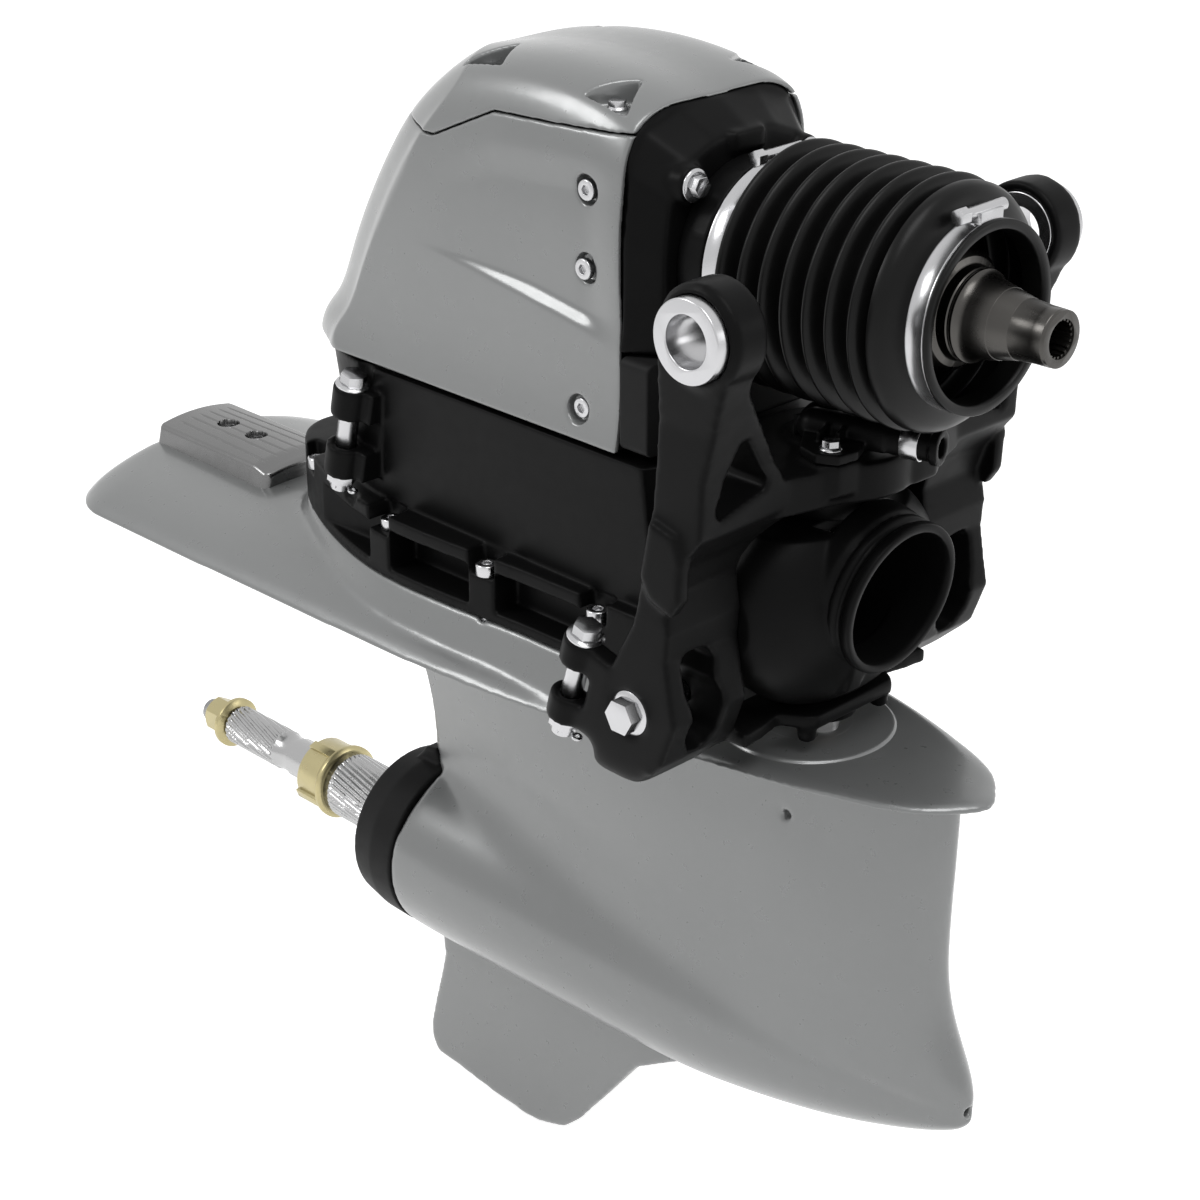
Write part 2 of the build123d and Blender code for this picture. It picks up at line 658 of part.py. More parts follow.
def lower_pivot_bush():
    """Bush in the fork plate for the lower pivot."""
    return tube("Z", PIVOT_BUSH, PIVOT_PIN + RUN, PLATE_BOTTOM - 9, PLATE_TOP - 0.5, (STEER_X, 0))


# Bellows and its bands

def bellows_profile():
    """Outer wave of the bellows from the rear cuff to the front cuff as (x, radius) points."""
    start, end = BELLOWS_REAR + 20, BELLOWS_FRONT - 36
    pitch = (end - start) / BELLOWS_FOLDS
    mean = (BELLOWS_CREST + BELLOWS_ROOT) / 2
    swing = (BELLOWS_CREST - BELLOWS_ROOT) / 2
    steps = 8
    wave = []
    for n in range(BELLOWS_FOLDS * steps + 1):
        x = start + pitch * n / steps
        wave.append((x, mean - swing * math.cos(2 * math.pi * n / steps)))
    return wave


def bellows():
    """Rubber bellows round the universal joint, open at both ends."""
    wave = bellows_profile()
    rear = [(BELLOWS_REAR, REAR_CUFF), (BELLOWS_REAR + 17, REAR_CUFF)]
    front = [(BELLOWS_FRONT - 30, BELLOWS_CREST - 1), (BELLOWS_FRONT - 22, BELLOWS_CREST - 4),
             (BELLOWS_FRONT - 18, FRONT_CUFF + 6), (BELLOWS_FRONT - 17, FRONT_CUFF),
             (BELLOWS_FRONT, FRONT_CUFF)]
    inner_front = [(BELLOWS_FRONT, FRONT_CUFF - 5.5), (BELLOWS_FRONT - 20, FRONT_CUFF - 5.5),
                   (BELLOWS_FRONT - 26, BELLOWS_CREST - 9), (BELLOWS_FRONT - 32, BELLOWS_CREST - 5)]
    inside = [(x, r - BELLOWS_WALL * 1.3) for x, r in reversed(wave)]
    bore = CARRIER_NECK + SEAT
    inner_rear = [(BELLOWS_REAR + 18, bore), (BELLOWS_REAR, bore)]
    return turned("X", rear + wave + front + inner_front + inside + inner_rear)


def band(radius, centre, screw_side):
    """Worm-drive band with its housing and cross screw at the top."""
    low, high = centre - BAND_WIDTH / 2, centre + BAND_WIDTH / 2
    strap = tube("X", radius + BAND_THICK, radius + SEAT, low, high)
    top = radius + BAND_THICK
    housing = box(low, high, -11, 11, top - 2, top + 7)
    housing -= rod("X", radius + SEAT, low - 1, high + 1)
    place = (centre, top + 6)
    screw = rod("Y", 4.2, -19, 19, place) + hexagon("Y", 10, screw_side * 19, screw_side * 27, place)
    return strap + housing + screw


# Universal joint and coupling sleeve

def yoke_ears(cross_x, base_x, drum, spread_axis):
    """Two ears on a drum, bored for the trunnions of a cross."""
    low, high = min(cross_x, base_x), max(cross_x, base_x)
    ear = rod("Z", YOKE_HALF, YOKE_EAR_IN, YOKE_EAR_OUT, (cross_x, 0))
    ear += box(low, high, -YOKE_HALF, YOKE_HALF, YOKE_EAR_IN, YOKE_EAR_OUT)
    ears = ear + mirror(ear, about=Plane.XY) - rod("Z", TRUNNION + RUN, -60, 60, (cross_x, 0))
    if spread_axis == "Y":
        ears = Rot(90, 0, 0) * ears
    return ears + drum


def cross(x):
    """Cross of a universal joint with its four trunnions."""
    body = Pos(x, 0, 0) * Box(25, 25, 25)
    body = chamfer(body.edges(), 4)
    arm = YOKE_EAR_OUT - 1
    return body + rod("Z", TRUNNION, -arm, arm, (x, 0)) + rod("Y", TRUNNION, -arm, arm, (x, 0))


def input_shaft():
    """Shaft from the pinion out to the rear yoke of the universal joint."""
    rim = YOKE_DRUM - 2
    drum = turned("X", [(-92, 0), (-92, rim - 6), (-80, rim), (-74, rim), (-74, 0)])
    yoke = yoke_ears(AFT_CROSS_X, -76, drum, "Z")
    return yoke + rod("X", INPUT_SHAFT, input_shaft_end(), -90)


def centre_yoke():
    """Short double yoke between the two crosses."""
    middle = (AFT_CROSS_X + FRONT_CROSS_X) / 2
    ring = tube("X", YOKE_DRUM, 26, middle - 7, middle + 7)
    rear = yoke_ears(AFT_CROSS_X, middle, ring, "Y")
    front = yoke_ears(FRONT_CROSS_X, middle, ring, "Y")
    round_off = rod("X", YOKE_DRUM, AFT_CROSS_X - 20, FRONT_CROSS_X + 20)
    return (rear + front) & round_off


def coupling_sleeve():
    """Front yoke and the tapered sleeve, splined inside for the engine's shaft."""
    outer = [(40, 0), (40, YOKE_DRUM), (66, YOKE_DRUM), (70, 36), (71, 31), (80, 30), (82, SLEEVE_CONE),
             (118, SLEEVE_RADIUS), (SLEEVE_END, SLEEVE_RADIUS), (SLEEVE_END, 0)]
    yoke = yoke_ears(FRONT_CROSS_X, 44, turned("X", outer), "Z")
    bore = rod("X", SLEEVE_BORE, 84, SLEEVE_END + 1)
    sleeve = yoke - bore
    teeth = []
    for n in range(SPLINE_COUNT):
        tooth = box(86, SLEEVE_END - 1.5, -0.9, 0.9, SLEEVE_BORE - 1.4, SLEEVE_BORE + 0.3)
        teeth.append(Rot(360 * n / SPLINE_COUNT, 0, 0) * tooth)
    return sleeve + teeth


# Gears and clutch

def input_pinion():
    """Pinion on the input shaft, in mesh with both upper gears."""
    gear = bevel_gear(INPUT_TEETH, UPPER_TEETH, UPPER_FACE, INPUT_SHAFT + SEAT, 7, 25, 6, 0.0)
    frame = Plane(origin=(SHAFT_X, 0, 0), x_dir=(0, 0, -1), z_dir=(1, 0, 0))
    return frame * gear


def upper_gear():
    """Upper bevel gear with the cone seat for the clutch."""
    gear = bevel_gear(UPPER_TEETH, INPUT_TEETH, UPPER_FACE, MAIN_SHAFT + RUN, 8, UPPER_HUB, 14,
                      math.pi / UPPER_TEETH)
    seat = turned("Z", [(10, 0), (10, SEAT_WIDE), (SEAT_NEAR, SEAT_WIDE), (SEAT_FAR, SEAT_NARROW),
                        (SEAT_FAR, 0)])
    return Pos(SHAFT_X, 0, 0) * (gear - seat)


def lower_gear():
    """The same gear turned over below the input axis."""
    return mirror(upper_gear(), about=Plane.XY)


def cone_clutch():
    """Double cone that slides on the shaft and locks one of the two gears to it."""
    slope = (SEAT_WIDE - SEAT_NARROW) / (SEAT_FAR - SEAT_NEAR)
    relief = (CLUTCH_TRAVEL + 0.6) * slope
    wide = SEAT_WIDE - relief
    tip = wide - slope * (CLUTCH_HALF - SEAT_NEAR)
    half = [(CLUTCH_HALF, tip), (SEAT_NEAR - 6, wide), (14, wide), (12, CLUTCH_COLLAR),
            (SHIFT_PIN + PLAY, CLUTCH_COLLAR), (SHIFT_PIN + PLAY, CLUTCH_GROOVE)]
    lower = [(-z, r) for z, r in reversed(half)]
    bore = MAIN_SHAFT + RUN
    profile = [(CLUTCH_HALF, bore)] + half + lower + [(-CLUTCH_HALF, bore)]
    return turned("Z", profile, (SHAFT_X, 0))


def shift_shaft():
    """Shaft whose off-centre pin moves the clutch, with its lever."""
    shaft = rod("Y", SHIFT_SHAFT, -80, -31, (SHAFT_X, 0))
    pin = rod("Y", SHIFT_PIN, -31.5, -21.5, (SHAFT_X + SHIFT_THROW, 0))
    return shaft + pin


def shift_lever():
    """Lever clamped on the outer end of the shift shaft."""
    arm = slab("Y", [(-14, -14), (14, -14), (34, -7), (40, 0), (34, 7), (14, 14), (-14, 14)], -86, -80)
    arm = Pos(SHAFT_X, 0, 0) * arm
    return arm - rod("Y", 3, -90, -78, (SHAFT_X + 31, 0))


def vertical_shaft():
    """Upper vertical shaft with its top nut."""
    shaft = rod("Z", MAIN_SHAFT, -284, 62, (SHAFT_X, 0))
    return shaft + hexagon("Z", 34, 61.6, 66, (SHAFT_X, 0))


def shaft_sleeve():
    """Splined sleeve that joins the upper and lower vertical shafts."""
    return tube("Z", 19, MAIN_SHAFT + SEAT, -320, -248, (SHAFT_X, 0))


def lower_shaft():
    """Lower vertical shaft down to its pinion."""
    return rod("Z", MAIN_SHAFT, lower_shaft_end(), -284, (SHAFT_X, 0))


def lower_pinion():
    """Pinion at the foot of the lower shaft, in mesh with both crown gears."""
    gear = bevel_gear(LOWER_PINION_TEETH, CROWN_TEETH, LOWER_FACE, MAIN_SHAFT + SEAT, 6, 22, 6, 0.0)
    return Pos(SHAFT_X, 0, PROP_Z) * gear


def front_crown():
    """Crown gear on the inner propeller shaft."""
    gear = bevel_gear(CROWN_TEETH, LOWER_PINION_TEETH, LOWER_FACE, INNER_SHAFT + SEAT, 7, FRONT_HUB, 8,
                      math.pi / CROWN_TEETH)
    frame = Plane(origin=(SHAFT_X, 0, PROP_Z), x_dir=(0, 0, 1), z_dir=(1, 0, 0))
    return frame * gear


def rear_crown():
    """Crown gear on the outer propeller shaft."""
    gear = bevel_gear(CROWN_TEETH, LOWER_PINION_TEETH, LOWER_FACE, OUTER_BORE, 7, REAR_HUB, 12,
                      math.pi / CROWN_TEETH)
    frame = Plane(origin=(SHAFT_X, 0, PROP_Z), x_dir=(0, 0, 1), z_dir=(-1, 0, 0))
    return (frame * gear) - rod("X", OUTER_SHAFT + SEAT, -330, OUTER_FRONT, (0, PROP_Z))


def spline_ring(radius, depth, count, start, end, across):
    """Straight splines standing on a shaft."""
    teeth = []
    for n in range(count):
        tooth = box(end, start, -radius * 1.6 / count, radius * 1.6 / count, radius - depth - 0.4, radius)
        teeth.append(Pos(0, *across) * (Rot(360 * n / count, 0, 0) * tooth))
    return teeth


def outer_prop_shaft():
    """Hollow shaft of the forward propeller."""
    depth = 1.6
    core = turned("X", [(OUTER_FRONT, OUTER_BORE), (OUTER_FRONT, OUTER_SHAFT), (-494, OUTER_SHAFT),
                        (-496, OUTER_SHAFT - depth), (-580, OUTER_SHAFT - depth), (-580, OUTER_SHAFT - 0.6),
                        (OUTER_NUT_X, OUTER_SHAFT - 0.6), (OUTER_NUT_X, 25), (OUTER_NUT_END + 3, 25),
                        (OUTER_NUT_END + 3, OUTER_BORE)], (0, PROP_Z))
    return core + spline_ring(OUTER_SHAFT, depth, 24, -496, -577, (0, PROP_Z))


def outer_prop_nut():
    """Brass nut with a flange and lugs that holds the forward propeller."""
    body = turned("X", [(OUTER_NUT_X, 25 + SEAT), (OUTER_NUT_X, 31), (OUTER_NUT_X - 2, OUTER_NUT_FLANGE),
                        (OUTER_NUT_X - 5, OUTER_NUT_FLANGE), (OUTER_NUT_X - 9, 31),
                        (OUTER_NUT_END, 31), (OUTER_NUT_END, 25 + SEAT)], (0, PROP_Z))
    lugs = []
    for n in range(4):
        lug = box(OUTER_NUT_END, OUTER_NUT_X - 6, -4, 4, 29, 33.5)
        lugs.append(Pos(0, 0, PROP_Z) * (Rot(90 * n + 20, 0, 0) * lug))
    return body + lugs


def inner_prop_shaft():
    """Shaft of the aft propeller, which runs inside the outer one."""
    depth = 1.5
    core = turned("X", [(-192, 0), (-192, INNER_SHAFT), (-652, INNER_SHAFT), (-656, INNER_SHAFT - 1.6),
                        (-742, INNER_SHAFT - 1.6), (-742, 10.5), (INNER_END, 10.5), (INNER_END - 2, 8.5),
                        (INNER_END - 2, 0)], (0, PROP_Z))
    return core + spline_ring(INNER_SHAFT, depth, 16, -672, -741, (0, PROP_Z))


def inner_prop_nut():
    """Brass nut with a flange on the end of the inner shaft."""
    bore = 10.5 + SEAT
    flange = turned("X", [(INNER_NUT_X + 4, bore), (INNER_NUT_X + 4, 15), (INNER_NUT_X, INNER_NUT_FLANGE),
                          (INNER_NUT_X - 4, INNER_NUT_FLANGE), (INNER_NUT_X - 7, 17),
                          (INNER_NUT_X - 7, bore)], (0, PROP_Z))
    nut = hexagon("X", 30, INNER_NUT_X - 30, INNER_NUT_X - 6, (0, PROP_Z)) & turned(
        "X", [(INNER_NUT_X - 30, 0), (INNER_NUT_X - 30, 14.5), (INNER_NUT_X - 27, 17.5),
              (INNER_NUT_X - 5, 17.5), (INNER_NUT_X - 5, 0)], (0, PROP_Z))
    return flange + (nut - rod("X", bore, INNER_NUT_X - 40, INNER_NUT_X, (0, PROP_Z)))


# Bearings and seals

def input_bearings():
    """Two bearings of the input shaft in their housing."""
    return [tube("X", CARRIER_BORE - SEAT, INPUT_SHAFT + RUN, low, low + 20) for low in (-172, -120)]


def upper_bearings():
    """Bearings round the hubs of the two upper gears."""
    ring = tube("Z", UPPER_BEARING - SEAT, UPPER_HUB + RUN, GEAR_CHAMBER_HALF, UPPER_BEARING_END,
                (SHAFT_X, 0))
    return [ring, mirror(ring, about=Plane.XY)]


def pinion_bearing():
    """Bearing of the lower shaft above its pinion."""
    return tube("Z", PINION_BEARING - SEAT, MAIN_SHAFT + RUN, -532, -512, (SHAFT_X, 0))


def crown_bearings():
    """Bearings of the inner and the outer propeller shaft."""
    front = tube("X", FRONT_BEARING - SEAT, FRONT_HUB + RUN, -200, -193, (0, PROP_Z))
    rear = tube("X", REAR_BEARING - SEAT, REAR_HUB + RUN, -300, -289, (0, PROP_Z))
    return [front, rear]


def shaft_seal():
    """Seal round the outer shaft."""
    return tube("X", SEAL_OUTER - SEAT, OUTER_SHAFT + RUN, -468, -454 - SEAT, (0, PROP_Z))


def prop_bearing_housing():
    """Housing that closes the gear chamber and carries the outer shaft."""
    bore = OUTER_SHAFT + 0.8
    profile = [(-302, REAR_HUB + 2), (-302, CARRIER_OUTER), (-470, CARRIER_OUTER), (-470, SEAL_OUTER),
               (-454, SEAL_OUTER), (-454, bore), (-312, bore), (-312, REAR_HUB + 2)]
    return turned("X", profile, (0, PROP_Z))


# Upper gear housing, its carrier and covers

def between(table, x):
    """Value of a station table at x, on straight lines between its stations."""
    for (x0, v0), (x1, v1) in zip(table, table[1:]):
        if x1 <= x <= x0:
            return v0 + (v1 - v0) * (x - x0) / (x1 - x0)
    return table[-1][1]


def hoop(x, inset):
    """Cross-section of the cowl: flat below, a rounded square arch above."""
    half = COVER_HALF - inset
    top = between(CREST, x) - inset
    low = COVER_BOTTOM - inset
    blunt = 2 / 6.0
    points = []
    for n in range(13):
        angle = math.pi * n / 12
        y = math.copysign(abs(math.cos(angle)) ** blunt, math.cos(angle)) * half
        points.append((x, y, low + (top - low) * math.sin(angle) ** blunt))
    arch = Spline(*points)
    return make_face(Wire([arch, Line(arch @ 1, arch @ 0)]))


def horseshoe(z, aft, half):
    """Plan section of the cowl: straight sides and a round aft end."""
    bend = [(aft + COVER_NOSE, 1.0), (aft + COVER_NOSE * 0.51, 0.895), (aft + COVER_NOSE * 0.26, 0.716),
            (aft + COVER_NOSE * 0.08, 0.42), (aft, 0.0)]
    port = [(x, share * half, z) for x, share in bend]
    starboard = [(x, -share * half, z) for x, share in reversed(bend[:-1])]
    curve = Spline(*(port + starboard), tangents=[(-1, 0, 0), (1, 0, 0)])
    sides = Polyline(curve @ 1, (-100, -half, z), (-100, half, z), curve @ 0)
    return make_face(Wire([curve] + list(sides.edges())))


def cowl(inset):
    """Outer form of all covers together, shrunk by an inset."""
    front = Pos(inset, 0, 0) * hoop(RIM_X, inset)
    arches = loft([front] + [hoop(x, inset) for x, _ in CREST[1:]])
    sections = []
    for n, (z, aft) in enumerate(COWL_AFT):
        z0, aft0 = COWL_AFT[max(n - 1, 0)]
        z1, aft1 = COWL_AFT[min(n + 1, len(COWL_AFT) - 1)]
        slant = math.hypot(1, (aft1 - aft0) / (z1 - z0))
        sections.append(horseshoe(z, aft + inset * slant, COVER_HALF + 1 - inset))
    return arches & loft(sections)


def seam_region(lift, above):
    """Everything above or below the seam between the top cover and the side covers."""
    line = [(x, z + lift) for x, z in TOP_SEAM]
    far = 250 if above else -200
    return slab("Y", line + [(-560, far), (-100, far)], -150, 150)


def pocket(x, y, grow):
    """Three-cornered outline of a bolt pocket in the top cover."""
    side = -1 if y < 0 else 1
    reach, outer, inward = 20 + grow, 12 + grow, 22 + grow
    return [(x - reach, y + side * outer), (x + reach, y + side * outer), (x + 2, y - side * inward)]


def top_places():
    """Places of the four top cover bolts."""
    return [(x, s * y) for x, y in TOP_BOLTS for s in (-1, 1)]


def top_cover(envelope, inner):
    """Domed top cover with its bolt pockets."""
    cover = (envelope & seam_region(SEAM / 2, True)) - inner
    for x, y in top_places():
        cover += slab("Z", pocket(x, y, 3), TOP_POCKET_FLOOR - 4, 140) & envelope
        cover -= slab("Z", pocket(x, y, 0), TOP_POCKET_FLOOR, 140)
        cover -= rod("Z", 4 + RUN, 60, 110, (x, y))
    return cover


def top_cover_bolts():
    """Four flange bolts of the top cover."""
    return [Pos(x, y, TOP_POCKET_FLOOR) * hex_bolt(11, 7.5, 4, 6.5, 22) for x, y in top_places()]


def side_cover(envelope, inner):
    """Starboard side cover with the recessed seats of its screws."""
    half = seam_region(-SEAM / 2, False) & box(-600, -100, -150, -SEAM / 2, -199, 150)
    cover = (envelope & half) - inner
    for x, z, seat in SIDE_SCREWS:
        cover += rod("Y", SCREW_POCKET + 4, -130, seat + 4, (x, z)) & envelope
        cover -= rod("Y", SCREW_POCKET, -130, seat, (x, z))
        cover -= rod("Y", 4 + RUN, -130, -60, (x, z))
    return cover


def side_screws():
    """Three screws of the starboard side cover."""
    screws = []
    for x, z, seat in SIDE_SCREWS:
        frame = Plane(origin=(x, seat, z), x_dir=(1, 0, 0), z_dir=(0, -1, 0))
        screws.append(frame * cap_screw(7.5, 5, 4, 22))
    return screws


def upper_core(fit):
    """Solid inside the covers, with the chamfered front that shows before them."""
    inner = fit & box(CORE_AFT, RIM_X, -120, 120, COVER_BOTTOM, 130)
    rim = make_face(Polyline(*[(RIM_X, y, z) for y, z in FRONT_RIM], close=True))
    face = make_face(Polyline(*[(FRONT_X - 7, y, z) for y, z in FRONT_FACE], close=True))
    front = loft([rim, face], ruled=True)
    return inner + front


def upper_gear_housing(fit):
    """Casting round the input gears, with its bores and the seats for covers and carrier."""
    body = upper_core(fit)
    front = FRONT_X - 7
    for y, z in FRONT_BOLTS:
        body += rod("X", 13, front - 10, FRONT_X - 0.5, (y, z))
    body += box(front - 5, front + 4, -16, 16, 69, 84)
    body -= rod("X", CARRIER_SEAT, -176, front + 1)
    body -= rod("X", CARRIER_BORE + 3, -206, -170)
    body -= rod("Z", GEAR_CHAMBER, -GEAR_CHAMBER_HALF, GEAR_CHAMBER_HALF, (SHAFT_X, 0))
    body -= rod("Z", UPPER_BEARING, -UPPER_BEARING_END - 1, UPPER_BEARING_END + 1, (SHAFT_X, 0))
    body -= rod("Z", UPPER_TUNNEL, COVER_BOTTOM - 5, GEAR_CAVITY_TOP + 2, (SHAFT_X, 0))
    body -= rod("Y", SHIFT_SHAFT + RUN, -110, -30, (SHAFT_X, 0))
    body -= box(SHAFT_X - 20, SHAFT_X + 58, -130, -76, -34, 34)
    body -= box(-150, -100, -120, -70, -131, -60)
    for x, y in top_places():
        body -= slab("Z", pocket(x, y, 3.6), TOP_POCKET_FLOOR - 4.3, 140)
        body -= rod("Z", 4 + RUN, 70, 110, (x, y))
    for x, z, seat in SIDE_SCREWS:
        for side in (-1, 1):
            body -= rod("Y", SCREW_POCKET + 4 + PLAY, side * 130, side * (-seat - 4 - PLAY), (x, z))
            body -= rod("Y", 4 + RUN, side * 130, side * 60, (x, z))
    for y, z in FRONT_BOLTS:
        body -= rod("X", 5 + RUN, -150, -100, (y, z))
    return body


def front_bolts():
    """Flange bolts in the front of the upper gear housing."""
    frame = Plane(origin=(FRONT_X - 0.5, 0, 0), x_dir=(0, 1, 0), z_dir=(1, 0, 0))
    return [frame * (Pos(y, z, 0) * hex_bolt(13, 11.5, 5, 8, 30)) for y, z in FRONT_BOLTS]


def bearing_carrier():
    """Ribbed housing of the input bearings, with the neck that the bellows fits over."""
    front = FRONT_X - 7
    spigot = CARRIER_SEAT - SEAT
    body = turned("X", [(-175, CARRIER_BORE), (-175, spigot), (front, spigot), (front, CARRIER_FLANGE),
                        (front + 8, CARRIER_FLANGE), (-104, CARRIER_NECK + 4), (-99, CARRIER_NECK + 4),
                        (-98.5, CARRIER_NECK), (-84, CARRIER_NECK), (-84, 50), (-98, CARRIER_BORE)])
    ribs = []
    for n in range(8):
        rib = box(front, -99, -2.5, 2.5, 60, CARRIER_FLANGE)
        ribs.append(Rot(45 * n + 22.5, 0, 0) * rib)
    return body + ribs


def shift_actuator():
    """Shift actuator on the starboard front corner of the upper gear housing."""
    block = box(-146, -119, -95, -70.3, -129, -62)
    return fillet(block.edges().filter_by(Axis.X), 6)


# Intermediate housing

def plan_face(side, aft, z):
    """Closed plan outline, straight in front and round at the back, symmetric about y=0."""
    mirror_aft = [(x, -y) for x, y in reversed(aft[:-1])]
    curve = Spline(*[(x, y, z) for x, y in aft + mirror_aft])
    left = [(x, y, z) for x, y in side] + [(*aft[0], z)]
    right = [(x, -y, z) for x, y in side] + [(aft[0][0], -aft[0][1], z)]
    edges = [curve, Polyline(*left), Polyline(*right), Line(left[0], right[0])]
    return make_face(Wire.combine([e for part in edges for e in part.edges()])[0])


def flange_screws():
    """Screws that join the intermediate and the lower gear housing."""
    return [Pos(x, s * y, POST_TOP) * cap_screw(SCREW_HEAD, SCREW_HEAD_HEIGHT, FLANGE_SCREW, 62)
            for x, y in FLANGE_SCREWS for s in (-1, 1)]


def aft_clevis():
    """Ears for the aft end of the starboard steering cylinder."""
    frame = tilted(AFT_PIN_TOP, AFT_PIN_LEAN)
    body = rod("Z", CLEVIS_EAR, -AFT_PIN_LENGTH, 0)
    body += box(-CLEVIS_EAR, CLEVIS_EAR + 8, 0, 34, -AFT_PIN_LENGTH, 0)
    middle = -AFT_PIN_LENGTH / 2
    gap = CLEVIS_SLOT / 2
    body -= box(-60, 60, -40, 13, middle - gap, middle + gap)
    return frame * body


def intermediate_housing():
    """Casting between the gear housings, with the steering arm and the aft clevises."""
    foot = plan_face(MID_FOOT_SIDE, MID_FOOT_AFT, SHELF_Z)
    body = loft([foot, plan_face(MID_SIDE, MID_AFT, MID_TOP)], ruled=True)
    body += extrude(plan_face(FLANGE_SIDE, FLANGE_AFT, FLANGE_Z), amount=SHELF_Z - FLANGE_Z, dir=(0, 0, 1))
    body -= rod("Z", SWING_RADIUS, FLANGE_Z - 1, MID_TOP + 1, (STEER_X, 0))
    floor = FLANGE_Z + FLANGE_LIP
    stations = [(-184.5, -272.5), (-299.5, -388.5), (-415.5, -520)]
    for side in (-1, 1):
        for x0, x1 in stations:
            body -= box(x1, x0, side * POCKET_WALL, side * 130, floor, POST_TOP + 6)
        for x, y in FLANGE_SCREWS:
            near = side * (y - SCREW_HEAD - 1)
            body -= box(x - POST_WIDE / 2, x + POST_WIDE / 2, near, side * 140, POST_TOP, SHELF_Z + 1)
    arm = slab("Z", [(STEER_X, -KING_HUB), (-112, -54), (-160, -60), (-160, 60), (-112, 54),
                     (STEER_X, KING_HUB)], -165, -143)
    body += arm + rod("Z", KING_HUB, -165, -143, (STEER_X, 0))
    body -= rod("Z", KING_PIN + SEAT, -170, MID_TOP, (STEER_X, 0))
    body += aft_clevis() + mirrored(aft_clevis())
    bore = rod("Z", CLEVIS_PIN + RUN, -AFT_PIN_LENGTH - 4, 4) + rod("Z", 14, 0, 30)
    bore += rod("Z", 13, -AFT_PIN_LENGTH - 30, -AFT_PIN_LENGTH)
    bore = tilted(AFT_PIN_TOP, AFT_PIN_LEAN) * bore
    body -= bore
    body -= mirrored(bore)
    body -= rod("X", 42, -190, STEER_X - SWING_RADIUS + 20, (0, BALL_Z + 4))
    body -= rod("Z", LOWER_TUNNEL, FLANGE_Z - 1, MID_TOP + 1, (SHAFT_X, 0))
    for x, y in FLANGE_SCREWS:
        for side in (-1, 1):
            body -= rod("Z", FLANGE_SCREW + RUN, FLANGE_Z - 1, POST_TOP + 1, (x, side * y))
    return body


# Lower gear housing

def foil(z, front, rear, half, tail):
    """Section of the strut: round in front, thickest at two fifths, narrow at the back."""
    widest = 0.4
    side = []
    for share in (1.0, 0.8, 0.6, widest, 0.22, 0.1, 0.035, 0.008):
        if share >= widest:
            width = half + (tail - half) * ((share - widest) / (1 - widest)) ** 1.8
        else:
            width = half * math.sqrt(1 - (1 - share / widest) ** 2)
        side.append((front - (front - rear) * share, width))
    points = [(x, y, z) for x, y in side] + [(front, 0, z)] + [(x, -y, z) for x, y in reversed(side)]
    curve = Spline(*points)
    return make_face(Wire([curve, Line(curve @ 1, curve @ 0)]))


def strut():
    """Streamlined leg between the plate and the torpedo."""
    return loft([foil(*row) for row in STRUT])


def torpedo():
    """Body round the propeller shafts, turned about their axis."""
    curve = Spline(*[(x, 0, PROP_Z + r) for x, r in TORPEDO])
    foot = Polyline(curve @ 1, (TORPEDO_AFT, 0, PROP_Z), (NOSE_X, 0, PROP_Z), curve @ 0)
    face = make_face(Wire([curve] + list(foot.edges())))
    return revolve(face, axis=Axis((0, 0, PROP_Z), (1, 0, 0)))


def crown_section(x, middle, edge):
    """Section across the plate: flat below and arched above."""
    low, wide = CAV_BOTTOM, 160
    arch = ThreePointArc((x, -wide, edge), (x, 0, middle), (x, wide, edge))
    sides = Polyline((x, wide, edge), (x, wide, low), (x, -wide, low), (x, -wide, edge))
    return make_face(Wire([arch] + list(sides.edges())))


def cavitation_plate():
    """Wide plate above the strut, thin in front and crowned at the back."""
    half = [(x, y, CAV_BOTTOM - 1) for x, y in PLATE_PLAN]
    other = [(x, -y, CAV_BOTTOM - 1) for x, y in PLATE_PLAN]
    low = CAV_BOTTOM - 1
    curve = Spline(*(list(reversed(half)) + other[1:]))
    corner = ThreePointArc(other[-1], (-779, -121, low), (-797, -82, low))
    opposite = ThreePointArc((-797, 82, low), (-779, 121, low), half[-1])
    face = make_face(Wire([curve, corner, Line(corner @ 1, opposite @ 0), opposite]))
    plan = extrude(face, amount=60, dir=(0, 0, 1))
    crown = loft([crown_section(*row) for row in CROWNS], ruled=True)
    return plan & crown


def skeg():
    """Fin below the torpedo."""
    blank = loft([foil(-640, -60, -470, 11, 3), foil(-842, -316, -479, 5, 2)])
    return blank & slab("Y", SKEG_SIDE, -30, 30)


def pedestal():
    """Raised seat on the plate for the intermediate housing."""
    top = plan_face(FLANGE_SIDE, FLANGE_AFT, FLANGE_Z)
    seat = extrude(top, amount=FLANGE_Z - CAV_BOTTOM, dir=(0, 0, -1), taper=-22)
    seat -= rod("Z", SWING_RADIUS, PAD_TOP, FLANGE_Z + 1, (STEER_X, 0))
    (x0, y0), (x1, y1) = FLANGE_SIDE
    reach = 60 / (y1 - y0)
    corner = (x1 + (x1 - x0) * reach, y1 + (y1 - y0) * reach)
    swing = slab("Z", [(0, y0), (x0, y0), corner, (0, corner[1])], CAV_BOTTOM - 1, FLANGE_Z + 1)
    return seat - swing - mirrored(swing)


